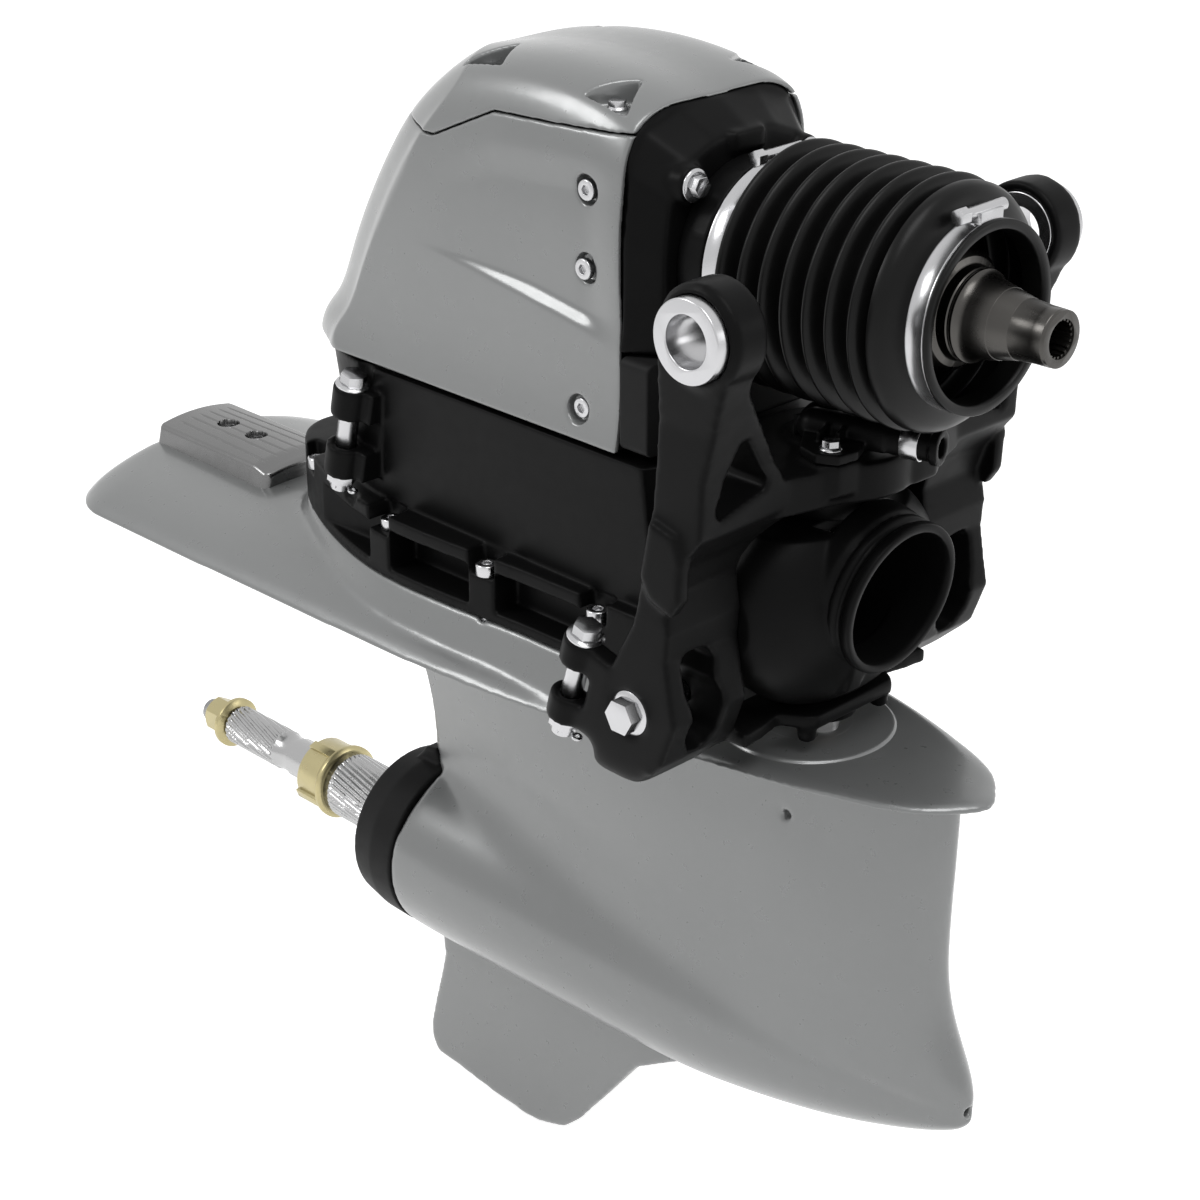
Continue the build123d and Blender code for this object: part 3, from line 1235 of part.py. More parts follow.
def lower_gear_housing():
    """Casting with the plate, strut, torpedo and skeg, bored for the shafts and gears."""
    body = strut() + torpedo() + cavitation_plate() + pedestal() + skeg()
    body += rod("Z", 56, CAV_BOTTOM, PAD_TOP, (STEER_X, 0))
    body -= hub_ring_shape(0.0)
    body -= rod("X", CARRIER_OUTER + SEAT, -301.5, TORPEDO_AFT - 80, (0, PROP_Z))
    body -= rod("X", LOWER_CAVITY, -303, -201, (0, PROP_Z))
    body -= rod("X", FRONT_BEARING, -202, -190, (0, PROP_Z))
    body -= rod("Z", PINION_CHAMBER, PROP_Z, -531.8, (SHAFT_X, 0))
    body -= rod("Z", PINION_BEARING, -533, -512, (SHAFT_X, 0))
    body -= rod("Z", LOWER_TUNNEL, -520, FLANGE_Z + 1, (SHAFT_X, 0))
    body -= rod("Z", PIVOT_PIN + SEAT, PAD_TOP - 20, PAD_TOP + 5, (STEER_X, 0))
    for x, y in FLANGE_SCREWS:
        for side in (-1, 1):
            body -= rod("Z", FLANGE_SCREW + RUN, -331, FLANGE_Z + 1, (x, side * y))
    body -= rod("X", 4.5, 100, 130, (0, -594))
    body -= rod("Y", 4, -60, -30, (-32, -393))
    for x in ANODE_SCREWS:
        body -= rod("Z", 4 + RUN, -336, -300, (x, 0))
    return body


def hub_ring_shape(grow):
    """Outer form of the hub ring with the tongue that runs up behind the strut."""
    ring = turned("X", [(TORPEDO_AFT, 0), (TORPEDO_AFT, 75.0), (-465, 74.5), (RING_AFT, 70), (RING_AFT, 0)],
                  (0, PROP_Z))
    tongue = slab("Y", [(TORPEDO_AFT, -560), (-445, -530), (-452, -512), (-464, -514), (-474, -526),
                        (-486, -545), (-486, -560)], -9, 9)
    return ring + tongue


def hub_ring():
    """Black ring behind the torpedo."""
    return hub_ring_shape(0.0) - rod("X", CARRIER_OUTER + 1, RING_AFT - 5, TORPEDO_AFT + 5, (0, PROP_Z))


def anode(plate):
    """Sacrificial block on the aft part of the plate, crowned and grooved."""
    outline = [(-624, -40), (-629, -44), (-776, -39), (-781, -34), (-781, 34), (-776, 39), (-629, 44),
               (-624, 40)]
    block = slab("Z", outline, -325, -296)
    crown = rod("X", 110, -800, -600, (0, -407))
    ramp = slab("Y", [(-600, -330), (-624, -309), (-646, -297), (-760, -296), (-783, -304), (-800, -330)],
                -60, 60)
    block = block & crown & ramp
    for y in (-22, -8, 8, 22):
        block -= box(-770, -650, y - 0.8, y + 0.8, -299.5, -290)
    for x in ANODE_SCREWS:
        block -= rod("Z", 9, -304, -290, (x, 0))
        block -= rod("Z", 4 + RUN, -330, -290, (x, 0))
    return block - plate


def anode_screws():
    """Two screws of the anode."""
    return [Pos(x, 0, -304) * cap_screw(7, 4, 4, 24) for x in ANODE_SCREWS]


def export(name, shape):
    """Write one node as a STEP file, with separate solids kept apart."""
    if isinstance(shape, (list, tuple)):
        shape = Compound(children=[Part() + piece for piece in shape])
    export_step(shape, f"parts/{name}.step")


def main():
    os.makedirs("parts", exist_ok=True)
    envelope = cowl(0.0)
    inner = cowl(COVER_WALL)
    fit = cowl(COVER_WALL + PLAY)
    starboard_cover = side_cover(envelope, inner)
    nodes = {
        "suspension_fork": suspension_fork(),
        "tilt_bush_starboard": tilt_bush(-1),
        "tilt_bush_port": tilt_bush(1),
        "exhaust_duct": exhaust_duct(),
        "water_elbow": water_elbow(),
        "water_elbow_bolts": elbow_bolts(),
        "water_hose_clamp": hose_clamp(),
        "trim_pins": both(trim_pin()),
        "trim_pin_nuts": both(trim_nut()) + both(trim_split_pin()),
        "fork_steering_bolts": both(clevis_bolt(FRONT_PIN_TOP, FRONT_PIN_LEAN, FRONT_PIN_LENGTH)),
        "fork_steering_nuts": clevis_nuts(FRONT_PIN_TOP, FRONT_PIN_LEAN, FRONT_PIN_LENGTH),
        "steering_bushes": [upper_pivot_bush(), lower_pivot_bush()],
        "upper_gear_housing": upper_gear_housing(fit),
        "input_bearing_housing": bearing_carrier(),
        "front_bolts": front_bolts(),
        "top_cover": top_cover(envelope, inner),
        "side_cover_starboard": starboard_cover,
        "side_cover_port": mirrored(starboard_cover),
        "side_cover_screws": [screw for one in side_screws() for screw in both(one)],
        "top_cover_bolts": top_cover_bolts(),
        "shift_actuator": shift_actuator(),
        "bellows": bellows(),
        "bellows_clamp_rear": band(REAR_CUFF, BELLOWS_REAR + 9, -1),
        "bellows_clamp_front": band(FRONT_CUFF, BELLOWS_FRONT - 10, -1),
        "intermediate_housing": intermediate_housing(),
        "upper_pivot": upper_pivot(),
        "lower_pivot": lower_pivot(),
        "flange_screws": flange_screws(),
        "aft_steering_bolts": both(clevis_bolt(AFT_PIN_TOP, AFT_PIN_LEAN, AFT_PIN_LENGTH)),
        "aft_steering_nuts": clevis_nuts(AFT_PIN_TOP, AFT_PIN_LEAN, AFT_PIN_LENGTH),
        "lower_gear_housing": lower_gear_housing(),
        "anode": anode(cavitation_plate()),
        "anode_screws": anode_screws(),
        "hub_ring": hub_ring(),
        "prop_bearing_housing": prop_bearing_housing(),
        "shaft_seal": shaft_seal(),
        "input_bearings": input_bearings(),
        "upper_gear_bearings": upper_bearings(),
        "lower_gear_bearings": [pinion_bearing()] + crown_bearings(),
        "input_shaft": input_shaft(),
        "input_pinion": input_pinion(),
        "aft_cross": cross(AFT_CROSS_X),
        "centre_yoke": centre_yoke(),
        "front_cross": cross(FRONT_CROSS_X),
        "coupling_sleeve": coupling_sleeve(),
        "upper_gear": upper_gear(),
        "lower_gear": lower_gear(),
        "cone_clutch": cone_clutch(),
        "shift_shaft": shift_shaft(),
        "shift_lever": shift_lever(),
        "vertical_shaft": vertical_shaft(),
        "shaft_coupling": shaft_sleeve(),
        "lower_shaft": lower_shaft(),
        "lower_pinion": lower_pinion(),
        "front_crown_gear": front_crown(),
        "rear_crown_gear": rear_crown(),
        "inner_prop_shaft": inner_prop_shaft(),
        "outer_prop_shaft": outer_prop_shaft(),
        "inner_prop_nut": inner_prop_nut(),
        "outer_prop_nut": outer_prop_nut(),
    }
    for name, shape in nodes.items():
        export(name, shape)
    print(len(nodes), "nodes")


main()
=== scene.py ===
"""Sterndrive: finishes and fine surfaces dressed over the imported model, in metres.

+X points forward to the boat, +Y to port and +Z up. The origin is on the input shaft.
"""

import json
import logging
import math
from dataclasses import dataclass, field
from enum import Enum
from typing import Callable

import bmesh
import bpy
import numpy as np
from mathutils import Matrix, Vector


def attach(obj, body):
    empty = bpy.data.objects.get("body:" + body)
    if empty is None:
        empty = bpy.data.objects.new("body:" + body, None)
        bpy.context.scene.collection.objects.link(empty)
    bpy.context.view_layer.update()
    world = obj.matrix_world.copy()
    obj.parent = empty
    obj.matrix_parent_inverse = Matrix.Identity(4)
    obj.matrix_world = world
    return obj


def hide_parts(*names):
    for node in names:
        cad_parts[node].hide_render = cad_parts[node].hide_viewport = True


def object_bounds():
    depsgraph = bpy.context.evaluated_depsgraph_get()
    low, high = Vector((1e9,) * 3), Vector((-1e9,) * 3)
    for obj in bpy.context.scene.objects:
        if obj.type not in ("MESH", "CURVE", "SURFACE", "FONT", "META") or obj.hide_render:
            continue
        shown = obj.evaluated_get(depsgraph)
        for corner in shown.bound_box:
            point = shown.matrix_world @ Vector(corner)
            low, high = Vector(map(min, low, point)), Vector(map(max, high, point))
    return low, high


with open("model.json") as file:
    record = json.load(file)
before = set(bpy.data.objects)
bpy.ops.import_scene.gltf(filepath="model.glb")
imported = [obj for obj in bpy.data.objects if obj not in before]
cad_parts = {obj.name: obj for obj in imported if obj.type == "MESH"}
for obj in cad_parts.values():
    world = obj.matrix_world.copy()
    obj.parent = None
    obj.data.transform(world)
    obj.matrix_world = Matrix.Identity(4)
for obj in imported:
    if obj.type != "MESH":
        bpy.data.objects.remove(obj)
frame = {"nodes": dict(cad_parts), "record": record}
CAD_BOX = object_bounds()

LOG = logging.getLogger("sterndrive")
MM = 0.001
BODY_OF = {node: body for body, nodes in frame["record"]["behaviour"]["bodies"].items() for node in nodes}


class Grain(Enum):
    """How a surface was made, which sets the fine texture it carries."""

    PAINT = "sprayed paint over a smooth casting"
    SAND = "paint over a sand-cast surface"
    TURNED = "cutting marks round the part's own axis"
    SATIN = "even satin with faint stains"
    MOULDED = "moulded rubber or plastic"


@dataclass(frozen=True)
class Finish:
    """One surface finish and the nodes that make it.

    The base colour is mottled by a slow noise, the roughness by a quicker one, and the
    grain adds bumps of its own size.
    """

    name: str
    slot: str
    colour: tuple[float, float, float]
    roughness: float
    grain: Grain
    metallic: float = 0.0
    coat: float = 0.0
    mottle: float = 0.06
    spread: float = 0.06
    bump: float = 0.08
    grain_size: float = 1.2
    specular: float = 0.5

    def material(self) -> bpy.types.Material:
        """Build the material once and hand back the same one afterwards.

        Returns:
            The Blender material of this finish.
        """
        known = bpy.data.materials.get(self.name)
        if known is not None:
            return known
        made = bpy.data.materials.new(self.name)
        made.use_nodes = True
        tree = made.node_tree
        shader = tree.nodes["Principled BSDF"]
        shader.inputs["Metallic"].default_value = self.metallic
        shader.inputs["Coat Weight"].default_value = self.coat
        shader.inputs["Coat Roughness"].default_value = 0.12
        shader.inputs["Specular IOR Level"].default_value = self.specular
        place = tree.nodes.new("ShaderNodeTexCoord").outputs["Object"]
        slow = self._noise(tree, place, 14.0, 3.0)
        quick = self._noise(tree, place, 90.0, 4.0)
        self._colour(tree, shader, slow)
        self._roughness(tree, shader, quick)
        self._bumps(tree, shader, place)
        return made

    def _noise(self, tree: bpy.types.NodeTree, place: bpy.types.NodeSocket, scale: float,
               detail: float) -> bpy.types.NodeSocket:
        """Noise on the object's own coordinates.

        Args:
            tree: Node tree that gets the node.
            place: Coordinates to read.
            scale: Repeats per metre.
            detail: Octaves.

        Returns:
            The noise value socket.
        """
        node = tree.nodes.new("ShaderNodeTexNoise")
        node.inputs["Scale"].default_value = scale
        node.inputs["Detail"].default_value = detail
        tree.links.new(place, node.inputs["Vector"])
        return node.outputs["Fac"]

    def _colour(self, tree: bpy.types.NodeTree, shader: bpy.types.Node,
                noise: bpy.types.NodeSocket) -> None:
        """Mix a darker and a lighter tone of the colour by the slow noise."""
        ramp = tree.nodes.new("ShaderNodeValToRGB")
        for element, share, place in zip(ramp.color_ramp.elements, (1 - self.mottle, 1 + self.mottle),
                                         (0.3, 0.7)):
            element.position = place
            element.color = (*[channel * share for channel in self.colour], 1.0)
        tree.links.new(noise, ramp.inputs["Fac"])
        tree.links.new(ramp.outputs["Color"], shader.inputs["Base Color"])

    def _roughness(self, tree: bpy.types.NodeTree, shader: bpy.types.Node,
                   noise: bpy.types.NodeSocket) -> None:
        """Spread the roughness round its middle by the quick noise."""
        spread = tree.nodes.new("ShaderNodeMapRange")
        spread.inputs["From Min"].default_value = 0.3
        spread.inputs["From Max"].default_value = 0.7
        spread.inputs["To Min"].default_value = self.roughness - self.spread
        spread.inputs["To Max"].default_value = self.roughness + self.spread
        tree.links.new(noise, spread.inputs["Value"])
        tree.links.new(spread.outputs["Result"], shader.inputs["Roughness"])

    def _bumps(self, tree: bpy.types.NodeTree, shader: bpy.types.Node,
               place: bpy.types.NodeSocket) -> None:
        """Add the grain's own bumps, a millimetre or so in size."""
        stretch = tree.nodes.new("ShaderNodeMapping")
        turned = self.grain is Grain.TURNED
        stretch.inputs["Scale"].default_value = (6.0, 1.0, 1.0) if turned else (1.0, 1.0, 1.0)
        tree.links.new(place, stretch.inputs["Vector"])
        fine = self._noise(tree, stretch.outputs["Vector"], 1.0 / (self.grain_size * MM), 2.0)
        bump = tree.nodes.new("ShaderNodeBump")
        bump.inputs["Strength"].default_value = self.bump
        bump.inputs["Distance"].default_value = 0.2 * MM
        tree.links.new(fine, bump.inputs["Height"])
        tree.links.new(bump.outputs["Normal"], shader.inputs["Normal"])


SILVER_PAINT = Finish("silver_paint_coat", "silver_paint", (0.215, 0.22, 0.22), 0.29, Grain.PAINT,
                      metallic=0.38, coat=0.35, mottle=0.015, spread=0.02, bump=0.015, grain_size=0.9)
BLACK_PAINT = Finish("black_casting_paint", "satin_black", (0.004, 0.004, 0.0041), 0.40, Grain.SAND,
                     mottle=0.12, spread=0.03, bump=0.03, grain_size=1.1, specular=0.07)
BLACK_PLASTIC = Finish("black_moulding", "black_plastic", (0.012, 0.012, 0.0122), 0.52, Grain.MOULDED,
                       mottle=0.1, spread=0.03, bump=0.02, grain_size=0.7, specular=0.10)
BRIGHT_STEEL = Finish("bright_steel_surface", "bright_steel", (0.50, 0.50, 0.51), 0.24, Grain.SATIN,
                      metallic=1.0, mottle=0.02, spread=0.015, bump=0.003, grain_size=0.5)
DARK_STEEL = Finish("dark_oiled_steel", "dark_steel", (0.075, 0.072, 0.068), 0.28, Grain.TURNED,
                    metallic=1.0, mottle=0.05, spread=0.015, bump=0.003, grain_size=0.6)
MACHINED = Finish("machined_steel_surface", "machined_steel", (0.42, 0.42, 0.42), 0.22, Grain.TURNED,
                  metallic=1.0, mottle=0.03, spread=0.02, bump=0.01, grain_size=0.5)
SATIN_BRASS = Finish("satin_brass", "brass", (0.46, 0.405, 0.225), 0.30, Grain.SATIN,
                     metallic=1.0, mottle=0.05, spread=0.04, bump=0.03, grain_size=0.6)
BEARING_BRONZE = Finish("bearing_bronze_surface", "bearing_bronze", (0.45, 0.30, 0.16), 0.32, Grain.SATIN,
                        metallic=1.0, mottle=0.08, spread=0.05, bump=0.05, grain_size=0.6)
BLACK_RUBBER = Finish("black_rubber", "rubber", (0.003, 0.003, 0.003), 0.34, Grain.MOULDED,
                      mottle=0.12, spread=0.03, bump=0.015, grain_size=0.8, specular=0.16)
ANODE_METAL = Finish("anode_casting", "anode_metal", (0.19, 0.19, 0.19), 0.26, Grain.SATIN,
                     metallic=1.0, mottle=0.03, spread=0.03, bump=0.01, grain_size=0.9)
FINISH_OF_SLOT = {finish.slot: finish for finish in (
    SILVER_PAINT, BLACK_PAINT, BLACK_PLASTIC, BRIGHT_STEEL, DARK_STEEL, MACHINED, SATIN_BRASS,
    BEARING_BRONZE, BLACK_RUBBER, ANODE_METAL)}
SLOT_OF = {part["node"]: part["material_slot"] for part in frame["record"]["subparts"]}


def finish_of(node: str) -> Finish:
    """The finish that the record gives to a node."""
    return FINISH_OF_SLOT[SLOT_OF[node]]


def merged_copy(node: str, name: str) -> bpy.types.Object:
    """Copy a CAD node's mesh and weld its loose triangles.

    Args:
        node: CAD node to copy.
        name: Name of the new object.

    Returns:
        A new object, linked to the scene, without material.
    """
    mesh = frame["nodes"][node].data.copy()
    mesh.materials.clear()
    mesh.name = name
    work = bmesh.new()
    work.from_mesh(mesh)
    bmesh.ops.remove_doubles(work, verts=work.verts, dist=1e-6)
    work.to_mesh(mesh)
    work.free()
    made = bpy.data.objects.new(name, mesh)
    bpy.context.scene.collection.objects.link(made)
    return made


def bake_modifiers(piece: bpy.types.Object) -> None:
    """Put what the modifiers make into the object's own mesh."""
    view = bpy.context.evaluated_depsgraph_get()
    result = bpy.data.meshes.new_from_object(piece.evaluated_get(view))
    piece.modifiers.clear()
    piece.data = result


def smooth_shading(piece: bpy.types.Object, angle: float) -> None:
    """Shade smooth, with edges sharper than the angle in degrees kept."""
    piece.data.shade_smooth()
    piece.data.set_sharp_from_angle(angle=math.radians(angle))


def settle(piece: bpy.types.Object, node: str, finish: Finish) -> bpy.types.Object:
    """Give a piece its finish and let it stand for its CAD node on that node's body.

    Args:
        piece: Finished mesh object in its place.
        node: CAD node that it replaces.
        finish: Surface finish.

    Returns:
        The same piece.
    """
    piece.data.materials.clear()
    piece.data.materials.append(finish.material())
    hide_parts(node)
    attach(piece, BODY_OF[node])
    LOG.info("%s stands for %s with %d faces", piece.name, node, len(piece.data.polygons))
    return piece


def places_of(mesh: bpy.types.Mesh) -> np.ndarray:
    """Vertex coordinates of a mesh as an array of rows."""
    flat = np.empty(len(mesh.vertices) * 3, np.float32)
    mesh.vertices.foreach_get("co", flat)
    return flat.reshape(-1, 3).astype(float)


def edges_of(mesh: bpy.types.Mesh) -> np.ndarray:
    """Pairs of vertex numbers, one pair to an edge."""
    flat = np.empty(len(mesh.edges) * 2, np.int32)
    mesh.edges.foreach_get("vertices", flat)
    return flat.reshape(-1, 2)


def put_places(mesh: bpy.types.Mesh, places: np.ndarray) -> None:
    """Write vertex coordinates back into a mesh."""
    mesh.vertices.foreach_set("co", places.astype(np.float32).ravel())
    mesh.update()


def relax(places: np.ndarray, edges: np.ndarray, rounds: int, pull: np.ndarray) -> np.ndarray:
    """Draw each point towards the mean of its neighbours, round after round.

    Formula: new place = old place + pull * (mean of the neighbours - old place).

    Args:
        places: Vertex coordinates.
        edges: Pairs of vertex numbers.
        rounds: How many times to repeat.
        pull: Share of the way for each vertex, from 0 to 1.

    Returns:
        The relaxed coordinates.
    """
    count = len(places)
    first, second = edges[:, 0], edges[:, 1]
    degree = np.bincount(first, minlength=count) + np.bincount(second, minlength=count)
    degree = np.maximum(degree, 1)[:, None]
    for _ in range(rounds):
        sums = [np.bincount(first, weights=places[second, k], minlength=count)
                + np.bincount(second, weights=places[first, k], minlength=count) for k in range(3)]
        places = places + pull[:, None] * (np.stack(sums, axis=1) / degree - places)
    return places


def without_pits(places: np.ndarray, edges: np.ndarray, limit: float, rounds: int) -> np.ndarray:
    """Level the single points that stand out from the surface round them.

    Formula: a point's step is its distance from the mean of its neighbours. Where the step
    differs from the neighbours' mean step by more than the limit, the difference is taken off.

    Args:
        places: Vertex coordinates.
        edges: Pairs of vertex numbers.
        limit: Least difference that counts, in metres.
        rounds: How many times to repeat.

    Returns:
        The levelled coordinates.
    """
    whole = np.ones(len(places))
    for _ in range(rounds):
        step = places - relax(places, edges, 1, whole)
        odd = step - relax(step, edges, 1, whole)
        far = np.linalg.norm(odd, axis=1) > limit
        places = places - np.where(far[:, None], odd, 0.0)
    return places


def smooth_step(share: np.ndarray) -> np.ndarray:
    """Zero below 0, one above 1 and 3 s^2 - 2 s^3 between."""
    share = np.clip(share, 0.0, 1.0)
    return share * share * (3.0 - 2.0 * share)


@dataclass(frozen=True)
class SoftZone:
    """An ellipsoid within which a casting's corners are rounded more.

    The weight is 1 at the centre, stays near 1 over half the way and fades to 0 at the rim.
    """

    centre: tuple[float, float, float]
    reach: tuple[float, float, float]
    rounds: int

    def weight(self, places: np.ndarray) -> np.ndarray:
        """Weight of each place: one minus the fourth power of its share of the reach."""
        share = np.linalg.norm((places - np.array(self.centre)) / np.array(self.reach), axis=1)
        return np.clip(1.0 - share ** 4, 0.0, 1.0)


@dataclass(frozen=True)
class RootBlend:
    """The wide hollow curve by which the strut flows into the torpedo."""

    radius: float = 115.0 * MM
    axis_height: float = -600.0 * MM
    strut_front: float = 100.0 * MM
    strut_rear: float = -452.0 * MM
    strut_half: float = 49.0 * MM
    strut_tail: float = 8.0 * MM
    widest: float = 0.4
    front_ease: float = 90.0 * MM
    rear_ease: float = 160.0 * MM
    torpedo: tuple[tuple[float, float], ...] = (
        (121, 0), (117, 7), (105, 15), (67, 30), (24, 43), (-20, 53), (-66, 61), (-112, 67), (-160, 70),
        (-259, 73.3), (-358, 75), (-500, 75))

    def strut_width(self, x: np.ndarray) -> np.ndarray:
        """Half width of the strut: a quarter ellipse up to the widest place, then a power curve."""
        share = np.clip((self.strut_front - x) / (self.strut_front - self.strut_rear), 0.0, 1.0)
        nose = self.strut_half * np.sqrt(np.clip(1 - (1 - share / self.widest) ** 2, 0, 1))
        fall = np.clip((share - self.widest) / (1 - self.widest), 0.0, 1.0) ** 1.8
        tail = self.strut_half + (self.strut_tail - self.strut_half) * fall
        return np.where(share < self.widest, nose, tail)

    def __call__(self, places: np.ndarray) -> np.ndarray:
        """Move the points in the corner out to an arc that touches the strut and the torpedo.

        Formula: the arc's centre is a radius outside the strut and a radius outside the
        torpedo, so its height is sqrt((R + r)^2 - (s + r)^2) above the torpedo's axis, and
        the surface stands at s + r - sqrt(r^2 - (z - centre)^2).

        Args:
            places: Vertex coordinates.

        Returns:
            The coordinates with the corner filled.
        """
        line = np.array(self.torpedo[::-1]) * MM
        x, y, z = places.T
        body = np.interp(x, line[:, 0], line[:, 1])
        half = np.minimum(self.strut_width(x), 0.98 * body)
        ease = (np.clip((self.strut_front - x) / self.front_ease, 0, 1)
                * np.clip((x - self.strut_rear) / self.rear_ease, 0.0, 1))
        radius = np.maximum(self.radius * ease, 1e-4)
        centre = self.axis_height + np.sqrt(np.maximum((body + radius) ** 2 - (half + radius) ** 2, 0.0))
        foot = self.axis_height + (centre - self.axis_height) * body / (body + radius)
        inside = np.clip(radius ** 2 - (z - centre) ** 2, 0.0, None)
        reach = half + radius - np.sqrt(inside)
        corner = (z > foot) & (z < centre) & (ease > 0) & (np.abs(y) < reach) & (np.abs(y) > 0.5 * half)
        moved = places.copy()
        moved[corner, 1] = np.sign(y[corner]) * reach[corner]
        return moved


@dataclass(frozen=True)
class PlateRim:
    """The edge of the plate, rolled down in a wide round."""

    low: float = -345.0 * MM
    rear: float = -797.0 * MM
    spread: float = 2.2
    wide: float = 160.0 * MM
    bins: int = 150
    stern_factor: float = 3.0
    most_share: float = 0.98
    under: float = 0.2 * MM
    over: float = 1.5 * MM
    crowns: tuple[tuple[float, float, float], ...] = (
        (-800, -312, -338), (-450, -315, -337), (-250, -328, -338.5), (-150, -337.5, -339.5),
        (-36, -338, -340), (125, -338.5, -340))

    def __call__(self, places: np.ndarray) -> np.ndarray:
        """Lower the plate's top towards its outline along a quarter ellipse.

        Formula: height = height * sqrt(1 - (1 - d / reach)^2), where d is the distance from
        the outline and reach is the plate's thickness there times the spread.

        Args:
            places: Vertex coordinates.

        Returns:
            The coordinates with the rim rolled down.
        """
        rows = np.array(self.crowns) * MM
        x, y, z = places.T
        middle, edge = np.interp(x, rows[:, 0], rows[:, 1]), np.interp(x, rows[:, 0], rows[:, 2])
        thick = middle + (edge - middle) * (y / self.wide) ** 2 - self.low
        plate = (z > self.low - self.under) & (z < self.low + thick + self.over)
        stops = np.linspace(self.rear, x[plate].max(), self.bins)
        half = np.zeros(self.bins)
        np.maximum.at(half, np.searchsorted(stops, x[plate]).clip(0, self.bins - 1), np.abs(y[plate]))
        slope = np.interp(x, stops, np.gradient(half, stops))
        away = (np.interp(x, stops, half) - np.abs(y)) / np.sqrt(1.0 + slope ** 2)
        away = np.clip(np.minimum(away, self.stern_factor * (x - self.rear)), 0.0, None)
        share = np.clip(1.0 - away / (self.spread * thick), 0.0, self.most_share)
        moved = places.copy()
        moved[:, 2] = np.where(plate, self.low + (z - self.low) * np.sqrt(1.0 - share ** 2), z)
        return moved


@dataclass(frozen=True)
class InTurn:
    """Changes of shape that are made one after the other."""

    steps: tuple[Callable[[np.ndarray], np.ndarray], ...]

    def __call__(self, places: np.ndarray) -> np.ndarray:
        """Hand the places from each step to the next."""
        for step in self.steps:
            places = step(places)
        return places


@dataclass(frozen=True)
class Scoop:
    """The panel pressed into a side cover, between a soft shoulder and a sharp ledge.

    The ledge faces up. It starts as a point near the back and widens towards the front.
    """

    start: float = -362.0 * MM
    full: float = -225.0 * MM
    turn: float = -188.0 * MM
    edge: float = -150.0 * MM
    depth: float = 7.0 * MM
    front_depth: float = 2.0 * MM
    ledge: tuple[tuple[float, float], ...] = (
        (-362, -25), (-300, -30), (-240, -37), (-190, -45), (-150, -50))
    shoulder: tuple[tuple[float, float], ...] = (
        (-362, 20), (-335, 44), (-300, 58), (-275, 66), (-150, 74))
    thin: float = 2.0 * MM
    wide: float = 12.0 * MM
    soft: float = 26.0 * MM
    fade: float = 30.0 * MM
    least: float = 0.0
    front: float = 1.0

    def __call__(self, places: np.ndarray) -> np.ndarray:
        """Press the part between the ledge line and the shoulder line inwards.

        Formula: inward = depth(x) * step(across the ledge) * step(down from the shoulder),
        where depth grows from 0 at the start to its full value and falls again to the edge.

        Args:
            places: Vertex coordinates.

        Returns:
            The pressed coordinates.
        """
        x, y, z = places.T
        ledge, shoulder = np.array(self.ledge) * MM, np.array(self.shoulder) * MM
        low = np.interp(x, ledge[:, 0], ledge[:, 1])
        high = np.interp(x, shoulder[:, 0], shoulder[:, 1])
        run = smooth_step((x - self.start) / (self.full - self.start))
        near = smooth_step((x - self.turn) / (self.edge - self.turn))
        depth = self.depth * run + (self.front_depth - self.depth) * near
        width = self.thin + (self.wide - self.thin) * run + (self.soft - self.wide) * near
        step = smooth_step((z - low) / width + 0.5) * smooth_step((high - z) / self.fade)
        taken = (np.abs(y) > self.least) & (x < self.front)
        moved = places.copy()
        moved[:, 1] -= np.sign(y) * np.where(taken, depth * step, 0.0)
        return moved


@dataclass(frozen=True)
class Casting:
    """A node whose sharp CAD edges become the rounded corners of a casting."""

    node: str
    voxel: float
    rounds: int = 6
    zones: tuple[SoftZone, ...] = ()
    most_faces: int = 70000
    shape: Callable[[np.ndarray], np.ndarray] | None = None
    quick_factor: float = 2.0
    pull: float = 0.5
    zone_pull: float = 0.6
    pit_share: float = 0.15
    pit_rounds: int = 4
    thinned_rounds: int = 4
    sharp_angle: float = 60.0

    def build(self) -> bpy.types.Object:
        """Remesh a merged copy, round its corners and thin it to its share of faces.

        Returns:
            The finished piece, riding on the node's body.
        """
        piece = merged_copy(self.node, f"{self.node}_cast")
        remesh = piece.modifiers.new("even_skin", "REMESH")
        remesh.mode = "VOXEL"
        size = self.voxel * 1.0
        remesh.voxel_size = size
        bake_modifiers(piece)
        mesh = piece.data
        edges = edges_of(mesh)
        places = places_of(mesh)
        if self.shape is not None:
            places = self.shape(places)
        places = without_pits(places, edges, self.pit_share * size, self.pit_rounds)
        places = relax(places, edges, self.rounds, np.full(len(places), self.pull))
        for zone in self.zones:
            places = relax(places, edges, zone.rounds, self.zone_pull * zone.weight(places))
        put_places(mesh, places)
        if len(mesh.polygons) > self.most_faces:
            thin = piece.modifiers.new("thin", "DECIMATE")
            thin.ratio = self.most_faces / len(mesh.polygons)
            bake_modifiers(piece)
            mesh = piece.data
            places = places_of(mesh)
            evened = relax(places, edges_of(mesh), self.thinned_rounds, np.full(len(places), self.pull))
            put_places(mesh, evened)
        smooth_shading(piece, self.sharp_angle)
        return settle(piece, self.node, finish_of(self.node))


